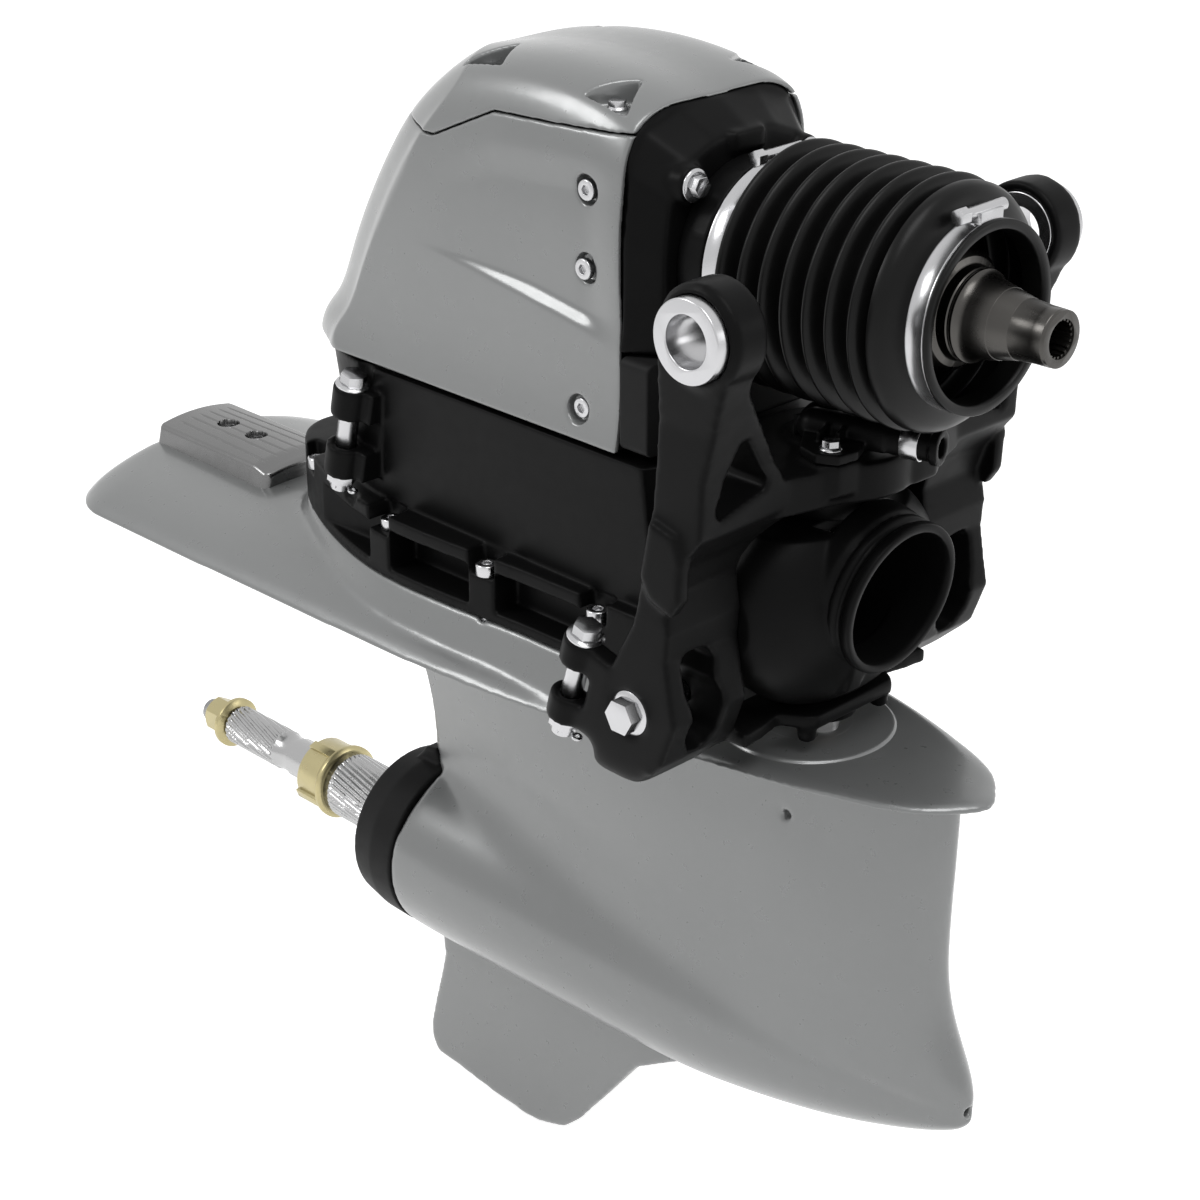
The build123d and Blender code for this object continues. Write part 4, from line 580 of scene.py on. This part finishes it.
@dataclass(frozen=True)
class Turned:
    """A machined or pressed node whose edges get a small bevel."""

    node: str
    bevel: float = 0.35 * MM
    angle: float = 30.0

    def build(self) -> bpy.types.Object:
        """Bevel a merged copy and shade it smooth between its edges.

        Returns:
            The finished piece, riding on the node's body.
        """
        piece = merged_copy(self.node, f"{self.node}_finished")
        work = bmesh.new()
        work.from_mesh(piece.data)
        flat = math.radians(0.5)
        bmesh.ops.dissolve_limit(work, angle_limit=flat, verts=work.verts, edges=work.edges)
        work.to_mesh(piece.data)
        work.free()
        edge = piece.modifiers.new("edges", "BEVEL")
        edge.width = self.bevel
        edge.segments = 2
        edge.limit_method = "ANGLE"
        edge.angle_limit = math.radians(self.angle)
        bake_modifiers(piece)
        smooth_shading(piece, 40)
        return settle(piece, self.node, finish_of(self.node))


def grid_faces(rows: int, columns: int, row_loop: bool, column_loop: bool) -> np.ndarray:
    """Quads of a grid whose vertices are numbered row by row.

    Args:
        rows: Number of rows of vertices.
        columns: Number of vertices in a row.
        row_loop: True where the last row joins the first.
        column_loop: True where the last vertex of a row joins the first.

    Returns:
        Vertex numbers, four to a face.
    """
    i = np.arange(rows if row_loop else rows - 1)[:, None]
    j = np.arange(columns if column_loop else columns - 1)[None, :]
    i2, j2 = (i + 1) % rows, (j + 1) % columns
    corners = [i * columns + j, i * columns + j2, i2 * columns + j2, i2 * columns + j]
    return np.stack([np.broadcast_to(c, (i.shape[0], j.shape[1])).ravel() for c in corners], axis=1)


def grid_piece(name: str, points: np.ndarray, row_loop: bool, column_loop: bool,
               caps: tuple[int, ...] = ()) -> bpy.types.Object:
    """Make an object from a grid of points.

    Args:
        name: Name of the object.
        points: Array of rows, columns and coordinates, in metres.
        row_loop: True where the last row joins the first.
        column_loop: True where each row is a closed ring.
        caps: Rows that are closed by one face each.

    Returns:
        The new object, with its faces turned outwards.
    """
    rows, columns = points.shape[:2]
    faces = grid_faces(rows, columns, row_loop, column_loop).tolist()
    faces += [[row * columns + j for j in range(columns)] for row in (r % rows for r in caps)]
    mesh = bpy.data.meshes.new(name)
    mesh.from_pydata(points.reshape(-1, 3).tolist(), [], faces)
    work = bmesh.new()
    work.from_mesh(mesh)
    bmesh.ops.recalc_face_normals(work, faces=work.faces)
    work.to_mesh(mesh)
    work.free()
    made = bpy.data.objects.new(name, mesh)
    bpy.context.scene.collection.objects.link(made)
    return made


def full_turn(count: int) -> np.ndarray:
    """Angles of a full turn in even steps, the last one short of the first."""
    return np.linspace(0.0, 2 * math.pi, count, endpoint=False)


def upright_grid(x: float, y: float, radius: np.ndarray, height: np.ndarray,
                 turns: np.ndarray) -> np.ndarray:
    """Points of a surface turned about an upright line.

    Formula: place = (x + radius * cos(turn), y + radius * sin(turn), height).

    Args:
        x: Forward place of the line.
        y: Sideways place of the line.
        radius: Radius of each row.
        height: Height of each row.
        turns: Angle of each column.

    Returns:
        Array of rows, columns and coordinates.
    """
    heights = np.broadcast_to(height[:, None], (len(height), len(turns)))
    return np.stack([x + radius[:, None] * np.cos(turns), y + radius[:, None] * np.sin(turns), heights],
                    axis=2)


def turned_grid(along: np.ndarray, radius: np.ndarray, turns: np.ndarray, height: float) -> np.ndarray:
    """Points of a surface turned about a line along X at a height.

    Formula: place = (along, radius * sin(turn), height + radius * cos(turn)).

    Args:
        along: X of each row, or of each row and column.
        radius: Radius of each row, or of each row and column.
        turns: Angle of each column.
        height: Z of the axis.

    Returns:
        Array of rows, columns and coordinates.
    """
    shape = (len(along), len(turns))
    x = np.broadcast_to(along if along.ndim == 2 else along[:, None], shape)
    r = np.broadcast_to(radius if radius.ndim == 2 else radius[:, None], shape)
    return np.stack([x, r * np.sin(turns)[None, :], height + r * np.cos(turns)[None, :]], axis=2)


@dataclass(frozen=True)
class Bellows:
    """The rubber bellows as one turned skin with rounded folds."""

    folds: int = 7
    crest: float = 85.0 * MM
    root: float = 72.0 * MM
    wall: float = 3.2 * MM
    rear: float = -98.0 * MM
    front: float = 90.2 * MM
    rear_cuff: float = 66.0 * MM
    front_cuff: float = 62.0 * MM
    seats: float = 20.0 * MM
    shoulder: float = 36.0 * MM

    def wave(self) -> tuple[np.ndarray, np.ndarray]:
        """Outer line of the folds.

        Formula: radius = root + rise * (1 - |cos(pi * fold number)| ^ 2.2), which makes wide
        round crests and narrow roots.

        Returns:
            Places along X and radii.
        """
        count = np.linspace(0.0, self.folds, self.folds * 20 + 1)
        start = self.rear + self.seats
        x = start + count / self.folds * (self.front - self.shoulder - self.rear - self.seats)
        lift = 1.0 - np.abs(np.cos(math.pi * count)) ** 2.2
        return x, self.root + (self.crest - self.root) * lift

    def build(self) -> bpy.types.Object:
        """Turn the outer and the inner line into one closed skin.

        Returns:
            The bellows.
        """
        x, r = self.wave()
        front_x = self.front - np.array([33, 29, 25, 22, 20, 18.5, 17.5, 16.5,
                                         3.4, 3.2, 2.8, 0.6, 0.0]) * MM
        front_r = np.array([82.5, 82.5, 80.0, 75.5, 71.0, 66.5, 63.5, 62.0,
                            62.0, 63.4, 64.0, 64.0, 63.4]) * MM
        rear_x = self.rear + np.array([0.0, 0.5, 3, 14, 17]) * MM
        rear_r = self.rear_cuff - np.array([1.0, 0.3, 0.0, 0.0, -1.0]) * MM
        back_x = self.front - np.array([0.0, 0.6, 4, 18, 24, 32]) * MM
        back_r = np.array([58.5, 57.5, 56.7, 56.7, 71.0, 77.5]) * MM
        tail_x = self.rear + np.array([18.0, 0.0]) * MM
        tail_r = np.array([62.7, 62.7]) * MM
        along = np.concatenate([rear_x, x, front_x, back_x, x[::-1], tail_x])
        radius = np.concatenate([rear_r, r, front_r, back_r, r[::-1] - self.wall * 1.25, tail_r])
        turns = full_turn(128)
        piece = grid_piece("bellows_skin", turned_grid(along, radius, turns, 0.0), True, True)
        smooth_shading(piece, 50)
        return settle(piece, "bellows", BLACK_RUBBER)


@dataclass(frozen=True)
class SplinedShaft:
    """A propeller shaft with helical splines cut into its aft end."""

    node: str
    axis_height: float
    radius: float
    depth: float
    splines: int
    start: float
    end: float
    twist: float
    outline: tuple[tuple[float, float], ...]
    bore: float = 0.0

    def build(self) -> bpy.types.Object:
        """Turn the outline, with the splines as waves of the radius.

        Formula: within the splined stretch the radius is lowered by depth * g, where g is 1
        in a groove and 0 on a tooth, and the groove turns by twist radians per metre.

        Returns:
            The shaft.
        """
        stops = np.array(self.outline) * MM
        along, radius = [], []
        for (x0, r0), (x1, r1) in zip(stops[:-1], stops[1:]):
            splined = min(x0, x1) < self.start and max(x0, x1) > self.end
            steps = max(2, int(abs(x1 - x0) / (1.5 * MM))) if splined else 1
            share = np.linspace(0.0, 1.0, steps, endpoint=False)
            along.append(x0 + (x1 - x0) * share)
            radius.append(r0 + (r1 - r0) * share)
        x = np.concatenate(along + [stops[-1:, 0]])
        r = np.concatenate(radius + [stops[-1:, 1]])
        turns = full_turn(self.splines * 8)
        phase = self.splines * (turns[None, :] + self.twist * (x[:, None] - self.start))
        groove = np.clip(0.5 + 1.6 * np.sin(phase), 0.0, 1.0)
        rise = np.clip((self.start - x) / (3 * MM), 0, 1) * np.clip((x - self.end) / (3 * MM), 0, 1)
        outer = r[:, None] - self.depth * groove * rise[:, None]
        name = f"{self.node}_splined"
        if self.bore:
            inner_x = x[[-1, 0]]
            grid = np.concatenate([turned_grid(x, outer, turns, self.axis_height),
                                   turned_grid(inner_x, np.full(2, self.bore), turns, self.axis_height)])
            piece = grid_piece(name, grid, True, True)
        else:
            piece = grid_piece(name, turned_grid(x, outer, turns, self.axis_height), False, True, (0, -1))
        smooth_shading(piece, 45)
        return settle(piece, self.node, MACHINED)


def added(piece: bpy.types.Object, body: str, finish: Finish, angle: float = 40.0) -> bpy.types.Object:
    """Finish a piece that has no CAD node of its own and let it ride on a body.

    Args:
        piece: Mesh object in its place.
        body: Body that carries it.
        finish: Surface finish.
        angle: Edges sharper than this many degrees stay sharp.

    Returns:
        The same piece.
    """
    smooth_shading(piece, angle)
    piece.data.materials.append(finish.material())
    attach(piece, body)
    LOG.info("%s added with %d faces", piece.name, len(piece.data.polygons))
    return piece


@dataclass(frozen=True)
class PlatePad:
    """Round raised pad on the front of the plate, below the fork, with a fine ring on it."""

    centre: float = -49.0 * MM
    radius: float = 65.0 * MM
    plate: float = -338.4 * MM
    rise: float = 2.6 * MM
    inner: float = 34.0 * MM
    hole: float = 13.0 * MM

    def build(self) -> bpy.types.Object:
        """Turn the pad's profile about the vertical line through its centre.

        Returns:
            The pad.
        """
        top = self.plate + self.rise
        edge = self.radius
        radius = np.array([self.hole, self.inner - 1.2 * MM, self.inner - 0.6 * MM, self.inner,
                           edge - 3.5 * MM, edge - 2.4 * MM, edge - 1.2 * MM, edge - 0.5 * MM, edge,
                           edge + 0.9 * MM, edge + 3 * MM, edge + 3 * MM, self.hole])
        height = top + np.array([0.6, 0.6, 0.3, 0.0, 0.0, -0.15, -0.7, -1.5,
                                 -2.1, -2.7, -3.4, -5.0, -5.0]) * MM
        grid = upright_grid(self.centre, 0.0, radius, height, full_turn(160))
        return added(grid_piece("plate_pad", grid, True, True), "drive", SILVER_PAINT, 60)


@dataclass(frozen=True)
class AnodeBlock:
    """Crowned anode with rounded edges, long grooves and two sunk screw seats."""

    rear: float = -781.0 * MM
    front: float = -624.0 * MM
    half: float = 40.5 * MM
    lean: float = 4.0 * MM
    base: float = -319.0 * MM
    top: float = -294.5 * MM
    drop: float = 5.0 * MM
    corner: float = 5.0 * MM
    grooves: tuple[float, ...] = (-27.0, -15.0, -5.0, 6.0, 17.0, 28.0)
    groove_depth: float = 1.4 * MM
    screws: tuple[float, ...] = (-690.0, -730.0)
    seat: float = 9.0 * MM
    seat_height: float = -304.2 * MM

    def height(self, x: np.ndarray, y: np.ndarray) -> np.ndarray:
        """Height of the top: a crown, rounded at its ends, less the grooves and seats."""
        ends = np.minimum(self.front - x, (x - self.rear) * 1.6)
        lift = np.sqrt(np.clip(1.0 - np.clip(1.0 - ends / (5 * MM), 0.0, 1.0) ** 2, 0.0, 1.0))
        crown = self.top - self.drop * (y / self.half) ** 2
        slope = 4.0 * MM * smooth_step(1.0 - (self.front - x) / (22 * MM))
        z = crown - slope - (1.0 - lift) * 5 * MM
        middle = (self.rear + self.front) / 2
        reach = np.clip(1.0 - (np.abs(x - middle) / (64 * MM)) ** 8, 0.0, 1.0)
        for place in self.grooves:
            bow = place * MM * (1.0 + 0.10 * (x - middle) / (78 * MM))
            z = z - self.groove_depth * reach * np.clip(1.0 - np.abs(y - bow) / (1.3 * MM), 0.0, 1.0)
        for place in self.screws:
            away = np.hypot(x - place * MM, y)
            sunk = smooth_step((self.seat + 0.7 * MM - away) / (1.0 * MM))
            z = z + (self.seat_height - z) * sunk
        return z

    def build(self) -> bpy.types.Object:
        """Carry the section along the block: sides up, round corners and the top between.

        Returns:
            The anode.
        """
        near = (5 * MM) * (1.0 - np.cos(np.linspace(0.0, math.pi / 2, 9)))
        middle = np.linspace(self.rear + 5 * MM, self.front - 5 * MM, 210)
        x = np.concatenate([self.rear + near[:-1], middle, self.front - near[::-1][1:]])
        ends = np.minimum(self.front - x, x - self.rear)
        plan = self.half - 5 * MM * np.clip(1.0 - ends / (6 * MM), 0.0, 1.0) ** 2
        across = np.linspace(-1.0, 1.0, 140)
        bend = np.linspace(0.0, math.pi / 2, 7)
        y_top = across[None, :] * (plan[:, None] - self.corner)
        z_top = self.height(x[:, None], y_top)
        drop = self.corner * (1 - np.cos(bend))[None, :]
        side_y = plan[:, None] - self.corner * (1 - np.sin(bend))[None, :]
        right_z = z_top[:, -1:] - drop
        left_z = z_top[:, :1] - drop
        foot = np.full((len(x), 1), self.base)
        foot_y = plan[:, None] + self.lean
        y = np.hstack([-foot_y, -side_y[:, ::-1], y_top[:, 1:-1], side_y, foot_y])
        z = np.hstack([foot, left_z[:, ::-1], z_top[:, 1:-1], right_z, foot])
        grid = np.stack([np.broadcast_to(x[:, None], y.shape), y, z], axis=2)
        piece = grid_piece("anode_block", grid, False, True, (0, -1))
        smooth_shading(piece, 50)
        return settle(piece, "anode", ANODE_METAL)


@dataclass(frozen=True)
class MouthLip:
    """Machined end of the exhaust mouth: the round lip, its groove and the second ring."""

    centre: tuple[float, float, float] = (32.3 * MM, 0.0, -214.9 * MM)
    droop: float = 7.75
    outline: tuple[tuple[float, float], ...] = (
        (-21, 53.0), (-20, 54.6), (-18.6, 55.9), (-17.8, 56.0), (-14.4, 56.0), (-13.4, 55.2), (-12, 53.0),
        (-9, 53.0), (-7.6, 55.4), (-6.6, 56.3), (-1.6, 56.3), (-0.4, 55.9), (0.25, 55.0), (0.25, 50.9),
        (-0.6, 49.9), (-6, 49.75), (-21, 49.75))

    def build(self) -> bpy.types.Object:
        """Turn the outline about the mouth's own axis.

        Formula: the grid is turned about X, tipped down by the droop and moved to the mouth.

        Returns:
            The lip.
        """
        stops = np.array(self.outline) * MM
        turns = full_turn(160)
        grid = turned_grid(stops[:, 0], stops[:, 1], turns, 0.0)
        lean = math.radians(self.droop)
        x, y, z = np.moveaxis(grid, 2, 0)
        placed = np.stack([x * math.cos(lean) + z * math.sin(lean), y,
                           z * math.cos(lean) - x * math.sin(lean)], axis=2) + np.array(self.centre)
        return added(grid_piece("mouth_lip", placed, True, True), BODY_OF["exhaust_duct"], BLACK_PAINT, 50)


@dataclass(frozen=True)
class SleeveSkin:
    """Outer steps of the coupling sleeve: collar, cone, land and tip."""

    outline: tuple[tuple[float, float], ...] = (
        (66, 30), (66, 36.5), (69, 34.8), (70.5, 32.4), (71.2, 31.3), (78.2, 30.9), (79, 30.2),
        (79.2, 29.0), (80.6, 28.8), (80.8, 30.4), (81.4, 30.8), (82.6, 30.6), (83.6, 29.2),
        (86, 27.6), (89, 26.6), (93, 25.9),
        (104, 23.6), (104.3, 23.3), (118, 20.3), (118.3, 20.0), (134, 18.9), (134.3, 19.0), (142.5, 18.9),
        (144.3, 18.0), (145.2, 16.6), (145.2, 14.0), (140, 13.4))

    def build(self) -> bpy.types.Object:
        """Turn the outline about the input shaft's axis.

        Returns:
            The skin.
        """
        stops = np.array(self.outline) * MM
        turns = full_turn(128)
        grid = turned_grid(stops[:, 0], stops[:, 1], turns, 0.0)
        piece = grid_piece("sleeve_outer_steps", grid, False, True)
        return added(piece, BODY_OF["coupling_sleeve"], DARK_STEEL, 25)


@dataclass(frozen=True)
class BandRing:
    """Bright strap of a bellows band, drawn over the clamp's own ring."""

    name: str
    node: str
    start: float
    end: float
    radius: float

    def build(self) -> bpy.types.Object:
        """Turn the strap's thin section, with its edges rolled up a little.

        Returns:
            The strap.
        """
        low, high = self.start * MM, self.end * MM
        radius = self.radius * MM
        along = np.array([low, low, low + 0.6 * MM, low + 1.6 * MM,
                          high - 1.6 * MM, high - 0.6 * MM, high, high])
        rise = np.array([-0.9, 0.35, 0.5, 0.0, 0.0, 0.5, 0.35, -0.9]) * MM
        turns = full_turn(160)
        grid = turned_grid(along, radius + rise, turns, 0.0)
        return added(grid_piece(self.name, grid, True, True), BODY_OF[self.node], BRIGHT_STEEL, 50)


@dataclass(frozen=True)
class PocketDome:
    """Dome on the floor of a bolt pocket of the top cover."""

    name: str
    place: tuple[float, float]
    side: float
    dome: float = 3.4 * MM
    floor: float = 97.0 * MM

    def build(self) -> bpy.types.Object:
        """Half a ball on the pocket's floor, inboard of the bolt.

        Formula: radius = dome * cos(rise), height = floor + dome * sin(rise).

        Returns:
            The dome.
        """
        rise = np.linspace(0.0, math.pi / 2 - 0.05, 9)
        radius = np.concatenate([[self.dome * 1.35, self.dome * 1.3], self.dome * np.cos(rise)])
        lift = 0.3 * MM + self.dome * 0.7 * np.sin(rise)
        height = self.floor + np.concatenate([[-0.3 * MM, 0.5 * MM], lift])
        x, y = self.place[0] * MM, (self.place[1] - 13.0) * MM * self.side
        grid = upright_grid(x, y, radius, height, full_turn(32))
        return added(grid_piece(self.name, grid, False, True, (0, -1)), "drive", SILVER_PAINT, 40)


class SubAssembly:
    """Common way of dressing a group of nodes."""

    castings: tuple[Casting, ...] = ()
    turned: tuple[str, ...] = ()
    kept: tuple[str, ...] = ()

    def dress(self) -> list[bpy.types.Object]:
        """Build every piece of the group and give the kept nodes their finish.

        Returns:
            The new pieces.
        """
        pieces = [casting.build() for casting in self.castings]
        pieces += [Turned(node).build() for node in self.turned]
        for node in self.kept:
            slots = frame["nodes"][node].data.materials
            slots.clear()
            slots.append(finish_of(node).material())
        return pieces


@dataclass
class ForkAssembly(SubAssembly):
    """Suspension fork with its bushes, pins, exhaust ball and water elbow."""

    castings: tuple[Casting, ...] = (
        Casting("suspension_fork", 1.6 * MM, 6, zones=(
            SoftZone((-0.085, -0.130, -0.325), (0.06, 0.055, 0.045), 160),
            SoftZone((-0.085, 0.130, -0.325), (0.06, 0.055, 0.045), 160))),
        Casting("exhaust_duct", 1.3 * MM, 5),
        Casting("water_elbow", 0.9 * MM, 4, most_faces=40000),
    )
    turned: tuple[str, ...] = ("tilt_bush_starboard", "tilt_bush_port", "water_elbow_bolts",
                               "water_hose_clamp", "trim_pins", "trim_pin_nuts",
                               "fork_steering_bolts", "fork_steering_nuts")
    kept: tuple[str, ...] = ("steering_bushes",)

    def dress(self) -> list[bpy.types.Object]:
        """Dress the fork and add the lip of the exhaust mouth."""
        return super().dress() + [MouthLip().build()]


@dataclass
class UpperUnit(SubAssembly):
    """Upper gear housing, its covers and the input bearing housing."""

    castings: tuple[Casting, ...] = (
        Casting("upper_gear_housing", 1.8 * MM, 4,
                shape=Scoop(depth=9.0 * MM, front_depth=4.0 * MM, least=70.0 * MM, front=-147.0 * MM)),
        Casting("input_bearing_housing", 1.2 * MM, 3),
        Casting("top_cover", 1.0 * MM, 6),
        Casting("side_cover_starboard", 1.0 * MM, 6, shape=Scoop()),
        Casting("side_cover_port", 1.0 * MM, 6, shape=Scoop()),
        Casting("shift_actuator", 0.9 * MM, 3, most_faces=30000),
    )
    turned: tuple[str, ...] = ("front_bolts", "side_cover_screws", "top_cover_bolts", "bellows_clamp_rear",
                               "bellows_clamp_front")
    bands: tuple[BandRing, ...] = (
        BandRing("front_band_strap", "bellows_clamp_front", 72.8, 86.6, 63.4),
        BandRing("rear_band_strap", "bellows_clamp_rear", -96.4, -81.6, 67.4))
    bolts: tuple[tuple[float, float], ...] = ((-178.6, 65.0), (-305.0, 60.0))

    def dress(self) -> list[bpy.types.Object]:
        """Dress the housings and add the straps and the domes in the bolt pockets."""
        sides = (("port", 1.0), ("starboard", -1.0))
        domes = [PocketDome(f"pocket_dome_{number}_{name}", place, side).build()
                 for number, place in enumerate(self.bolts) for name, side in sides]
        return super().dress() + [band.build() for band in self.bands] + domes


@dataclass
class IntermediateUnit(SubAssembly):
    """Housing between the gear housings with its clevises and screws."""

    castings: tuple[Casting, ...] = (Casting("intermediate_housing", 1.3 * MM, 5),)
    turned: tuple[str, ...] = ("flange_screws", "aft_steering_bolts", "aft_steering_nuts")
    kept: tuple[str, ...] = ("upper_pivot", "lower_pivot")


@dataclass
class LowerUnit(SubAssembly):
    """Lower gear housing with its plate, torpedo and skeg, the anode and the hub ring."""

    castings: tuple[Casting, ...] = (
        Casting("lower_gear_housing", 2.3 * MM, 5, zones=(
            SoftZone((-0.17, -0.06, -0.535), (0.33, 0.07, 0.06), 60),
            SoftZone((-0.17, 0.06, -0.535), (0.33, 0.07, 0.06), 60)),
            shape=InTurn((RootBlend(), PlateRim()))),
        Casting("hub_ring", 1.3 * MM, 4, most_faces=60000),
        Casting("prop_bearing_housing", 1.4 * MM, 3, most_faces=60000),
    )
    turned: tuple[str, ...] = ("anode_screws", "outer_prop_nut", "inner_prop_nut", "shaft_seal")

    def dress(self) -> list[bpy.types.Object]:
        """Dress the castings and add the anode and the plate's pad."""
        return super().dress() + [AnodeBlock().build(), PlatePad().build()]


@dataclass
class DriveTrain(SubAssembly):
    """Universal joint, gears, clutch and shafts inside the housings."""

    turned: tuple[str, ...] = ("input_shaft", "aft_cross", "centre_yoke", "front_cross", "coupling_sleeve")
    kept: tuple[str, ...] = ("input_bearings", "upper_gear_bearings", "lower_gear_bearings", "input_pinion",
                             "upper_gear", "lower_gear", "cone_clutch", "shift_shaft", "shift_lever",
                             "vertical_shaft", "shaft_coupling", "lower_shaft", "lower_pinion",
                             "front_crown_gear", "rear_crown_gear")
    splined: tuple[SplinedShaft, ...] = (
        SplinedShaft("outer_prop_shaft", -0.6, 0.0296, 1.2 * MM, 40, -0.496, -0.577, 6.0,
                     ((-284, 29.6), (-494, 29.6), (-496, 28.9), (-498, 29.6), (-577, 29.6), (-578, 29.0),
                      (-583.6, 29.0), (-584, 28.6), (-584, 25), (-615, 25)), bore=0.0192),
        SplinedShaft("inner_prop_shaft", -0.6, 0.0183, 1.7 * MM, 20, -0.672, -0.741, 14.0,
                     ((-192, 18.3), (-650, 18.3), (-655, 16.7), (-667, 16.7), (-671, 18.3), (-741, 18.3),
                      (-742, 17.6), (-742, 10.5), (-786, 10.5), (-788, 8.5))),
    )

    def dress(self) -> list[bpy.types.Object]:
        """Dress the train and cut the helical splines of the propeller shafts."""
        return super().dress() + [shaft.build() for shaft in self.splined] + [SleeveSkin().build()]


@dataclass
class Studio:
    """Camera, lamps, floor and background."""

    place: tuple[float, float, float] = (1.02471, -1.26457, 0.52622)
    tilt: float = 65.07
    turn: float = 45.48
    lens: float = 77.467
    sensor: float = 36.0
    world_light: float = 0.50
    floor_colour: tuple[float, float, float] = (0.86, 0.86, 0.86)
    floor_half: float = 12.0
    floor_glow: float = 0.7
    lamps: list[tuple[str, tuple[float, float, float], float, float]] = field(default_factory=lambda: [
        ("key", (-1.75, -1.8, 1.55), 0.9, 20.0),
        ("port", (2.3, 2.0, 0.6), 1.0, 6.0),
        ("top", (1.0, -0.4, 2.4), 1.5, 32.0),
    ])

    def camera(self) -> None:
        """Set the camera at the place and angle that the picture was taken from."""
        data = bpy.data.cameras.new("camera")
        data.lens = self.lens
        data.sensor_width = self.sensor
        data.clip_end = 50.0
        camera = bpy.data.objects.new("camera", data)
        camera.location = self.place
        camera.rotation_euler = (math.radians(self.tilt), 0.0, math.radians(self.turn))
        bpy.context.scene.collection.objects.link(camera)
        bpy.context.scene.camera = camera

    def light(self) -> None:
        """Hang soft square lamps that all point at the middle of the drive."""
        low, high = CAD_BOX
        middle = (low + high) / 2
        for name, place, size, power in self.lamps:
            data = bpy.data.lights.new(name, "AREA")
            data.size = size
            data.energy = power
            lamp = bpy.data.objects.new(name, data)
            lamp.location = place
            lamp.rotation_mode = "QUATERNION"
            lamp.rotation_quaternion = (middle - lamp.location).to_track_quat("-Z", "Y")
            bpy.context.scene.collection.objects.link(lamp)

    def seen_directly(self, tree: bpy.types.NodeTree) -> bpy.types.NodeSocket:
        """One where a ray comes from the camera or from a mirror or glass, else zero."""
        path = tree.nodes.new("ShaderNodeLightPath")
        total = path.outputs["Is Camera Ray"]
        for other in ("Is Glossy Ray", "Is Transmission Ray"):
            add = tree.nodes.new("ShaderNodeMath")
            add.operation = "MAXIMUM"
            tree.links.new(total, add.inputs[0])
            tree.links.new(path.outputs[other], add.inputs[1])
            total = add.outputs[0]
        return total

    def background(self) -> None:
        """White where it is seen, a plain grey light elsewhere."""
        world = bpy.data.worlds.new("studio")
        world.use_nodes = True
        tree = world.node_tree
        back = tree.nodes["Background"]
        level = tree.nodes.new("ShaderNodeMapRange")
        level.inputs["To Min"].default_value = self.world_light
        level.inputs["To Max"].default_value = 1.0
        tree.links.new(self.seen_directly(tree), level.inputs["Value"])
        tree.links.new(level.outputs["Result"], back.inputs["Strength"])
        bpy.context.scene.world = world
        back.inputs["Color"].default_value = (1.0, 1.0, 1.0, 1.0)

    def floor(self) -> None:
        """Lay a wide pale floor under the skeg."""
        low = CAD_BOX[0]
        corners = np.array([[-1, -1], [1, -1], [1, 1], [-1, 1]]) * self.floor_half
        points = np.column_stack([corners, np.full(4, low.z)])
        mesh = bpy.data.meshes.new("floor")
        mesh.from_pydata(points.tolist(), [], [[0, 1, 2, 3]])
        floor = bpy.data.objects.new("floor", mesh)
        bpy.context.scene.collection.objects.link(floor)
        made = bpy.data.materials.new("pale_floor")
        made.use_nodes = True
        shader = made.node_tree.nodes["Principled BSDF"]
        shader.inputs["Base Color"].default_value = (*self.floor_colour, 1.0)
        shader.inputs["Roughness"].default_value = 0.9
        shader.inputs["Emission Color"].default_value = (1.0, 1.0, 1.0, 1.0)
        seen = self.seen_directly(made.node_tree)
        share = made.node_tree.nodes.new("ShaderNodeMath")
        share.operation = "MULTIPLY"
        share.inputs[1].default_value = self.floor_glow
        made.node_tree.links.new(seen, share.inputs[0])
        made.node_tree.links.new(share.outputs[0], shader.inputs["Emission Strength"])
        mesh.materials.append(made)

    def build(self) -> None:
        """Set up everything round the object."""
        self.camera()
        self.light()
        self.background()
        self.floor()
        bpy.context.scene.view_settings.view_transform = "Standard"


def main() -> None:
    """Build the studio and dress every sub-assembly."""
    logging.basicConfig(level=logging.INFO)
    Studio().build()
    groups = (ForkAssembly(), UpperUnit(), IntermediateUnit(), LowerUnit(), DriveTrain())
    for group in groups:
        pieces = group.dress()
        LOG.info("%s has %d new pieces", type(group).__name__, len(pieces))
    Bellows().build()


if __name__ == "__main__":
    main()
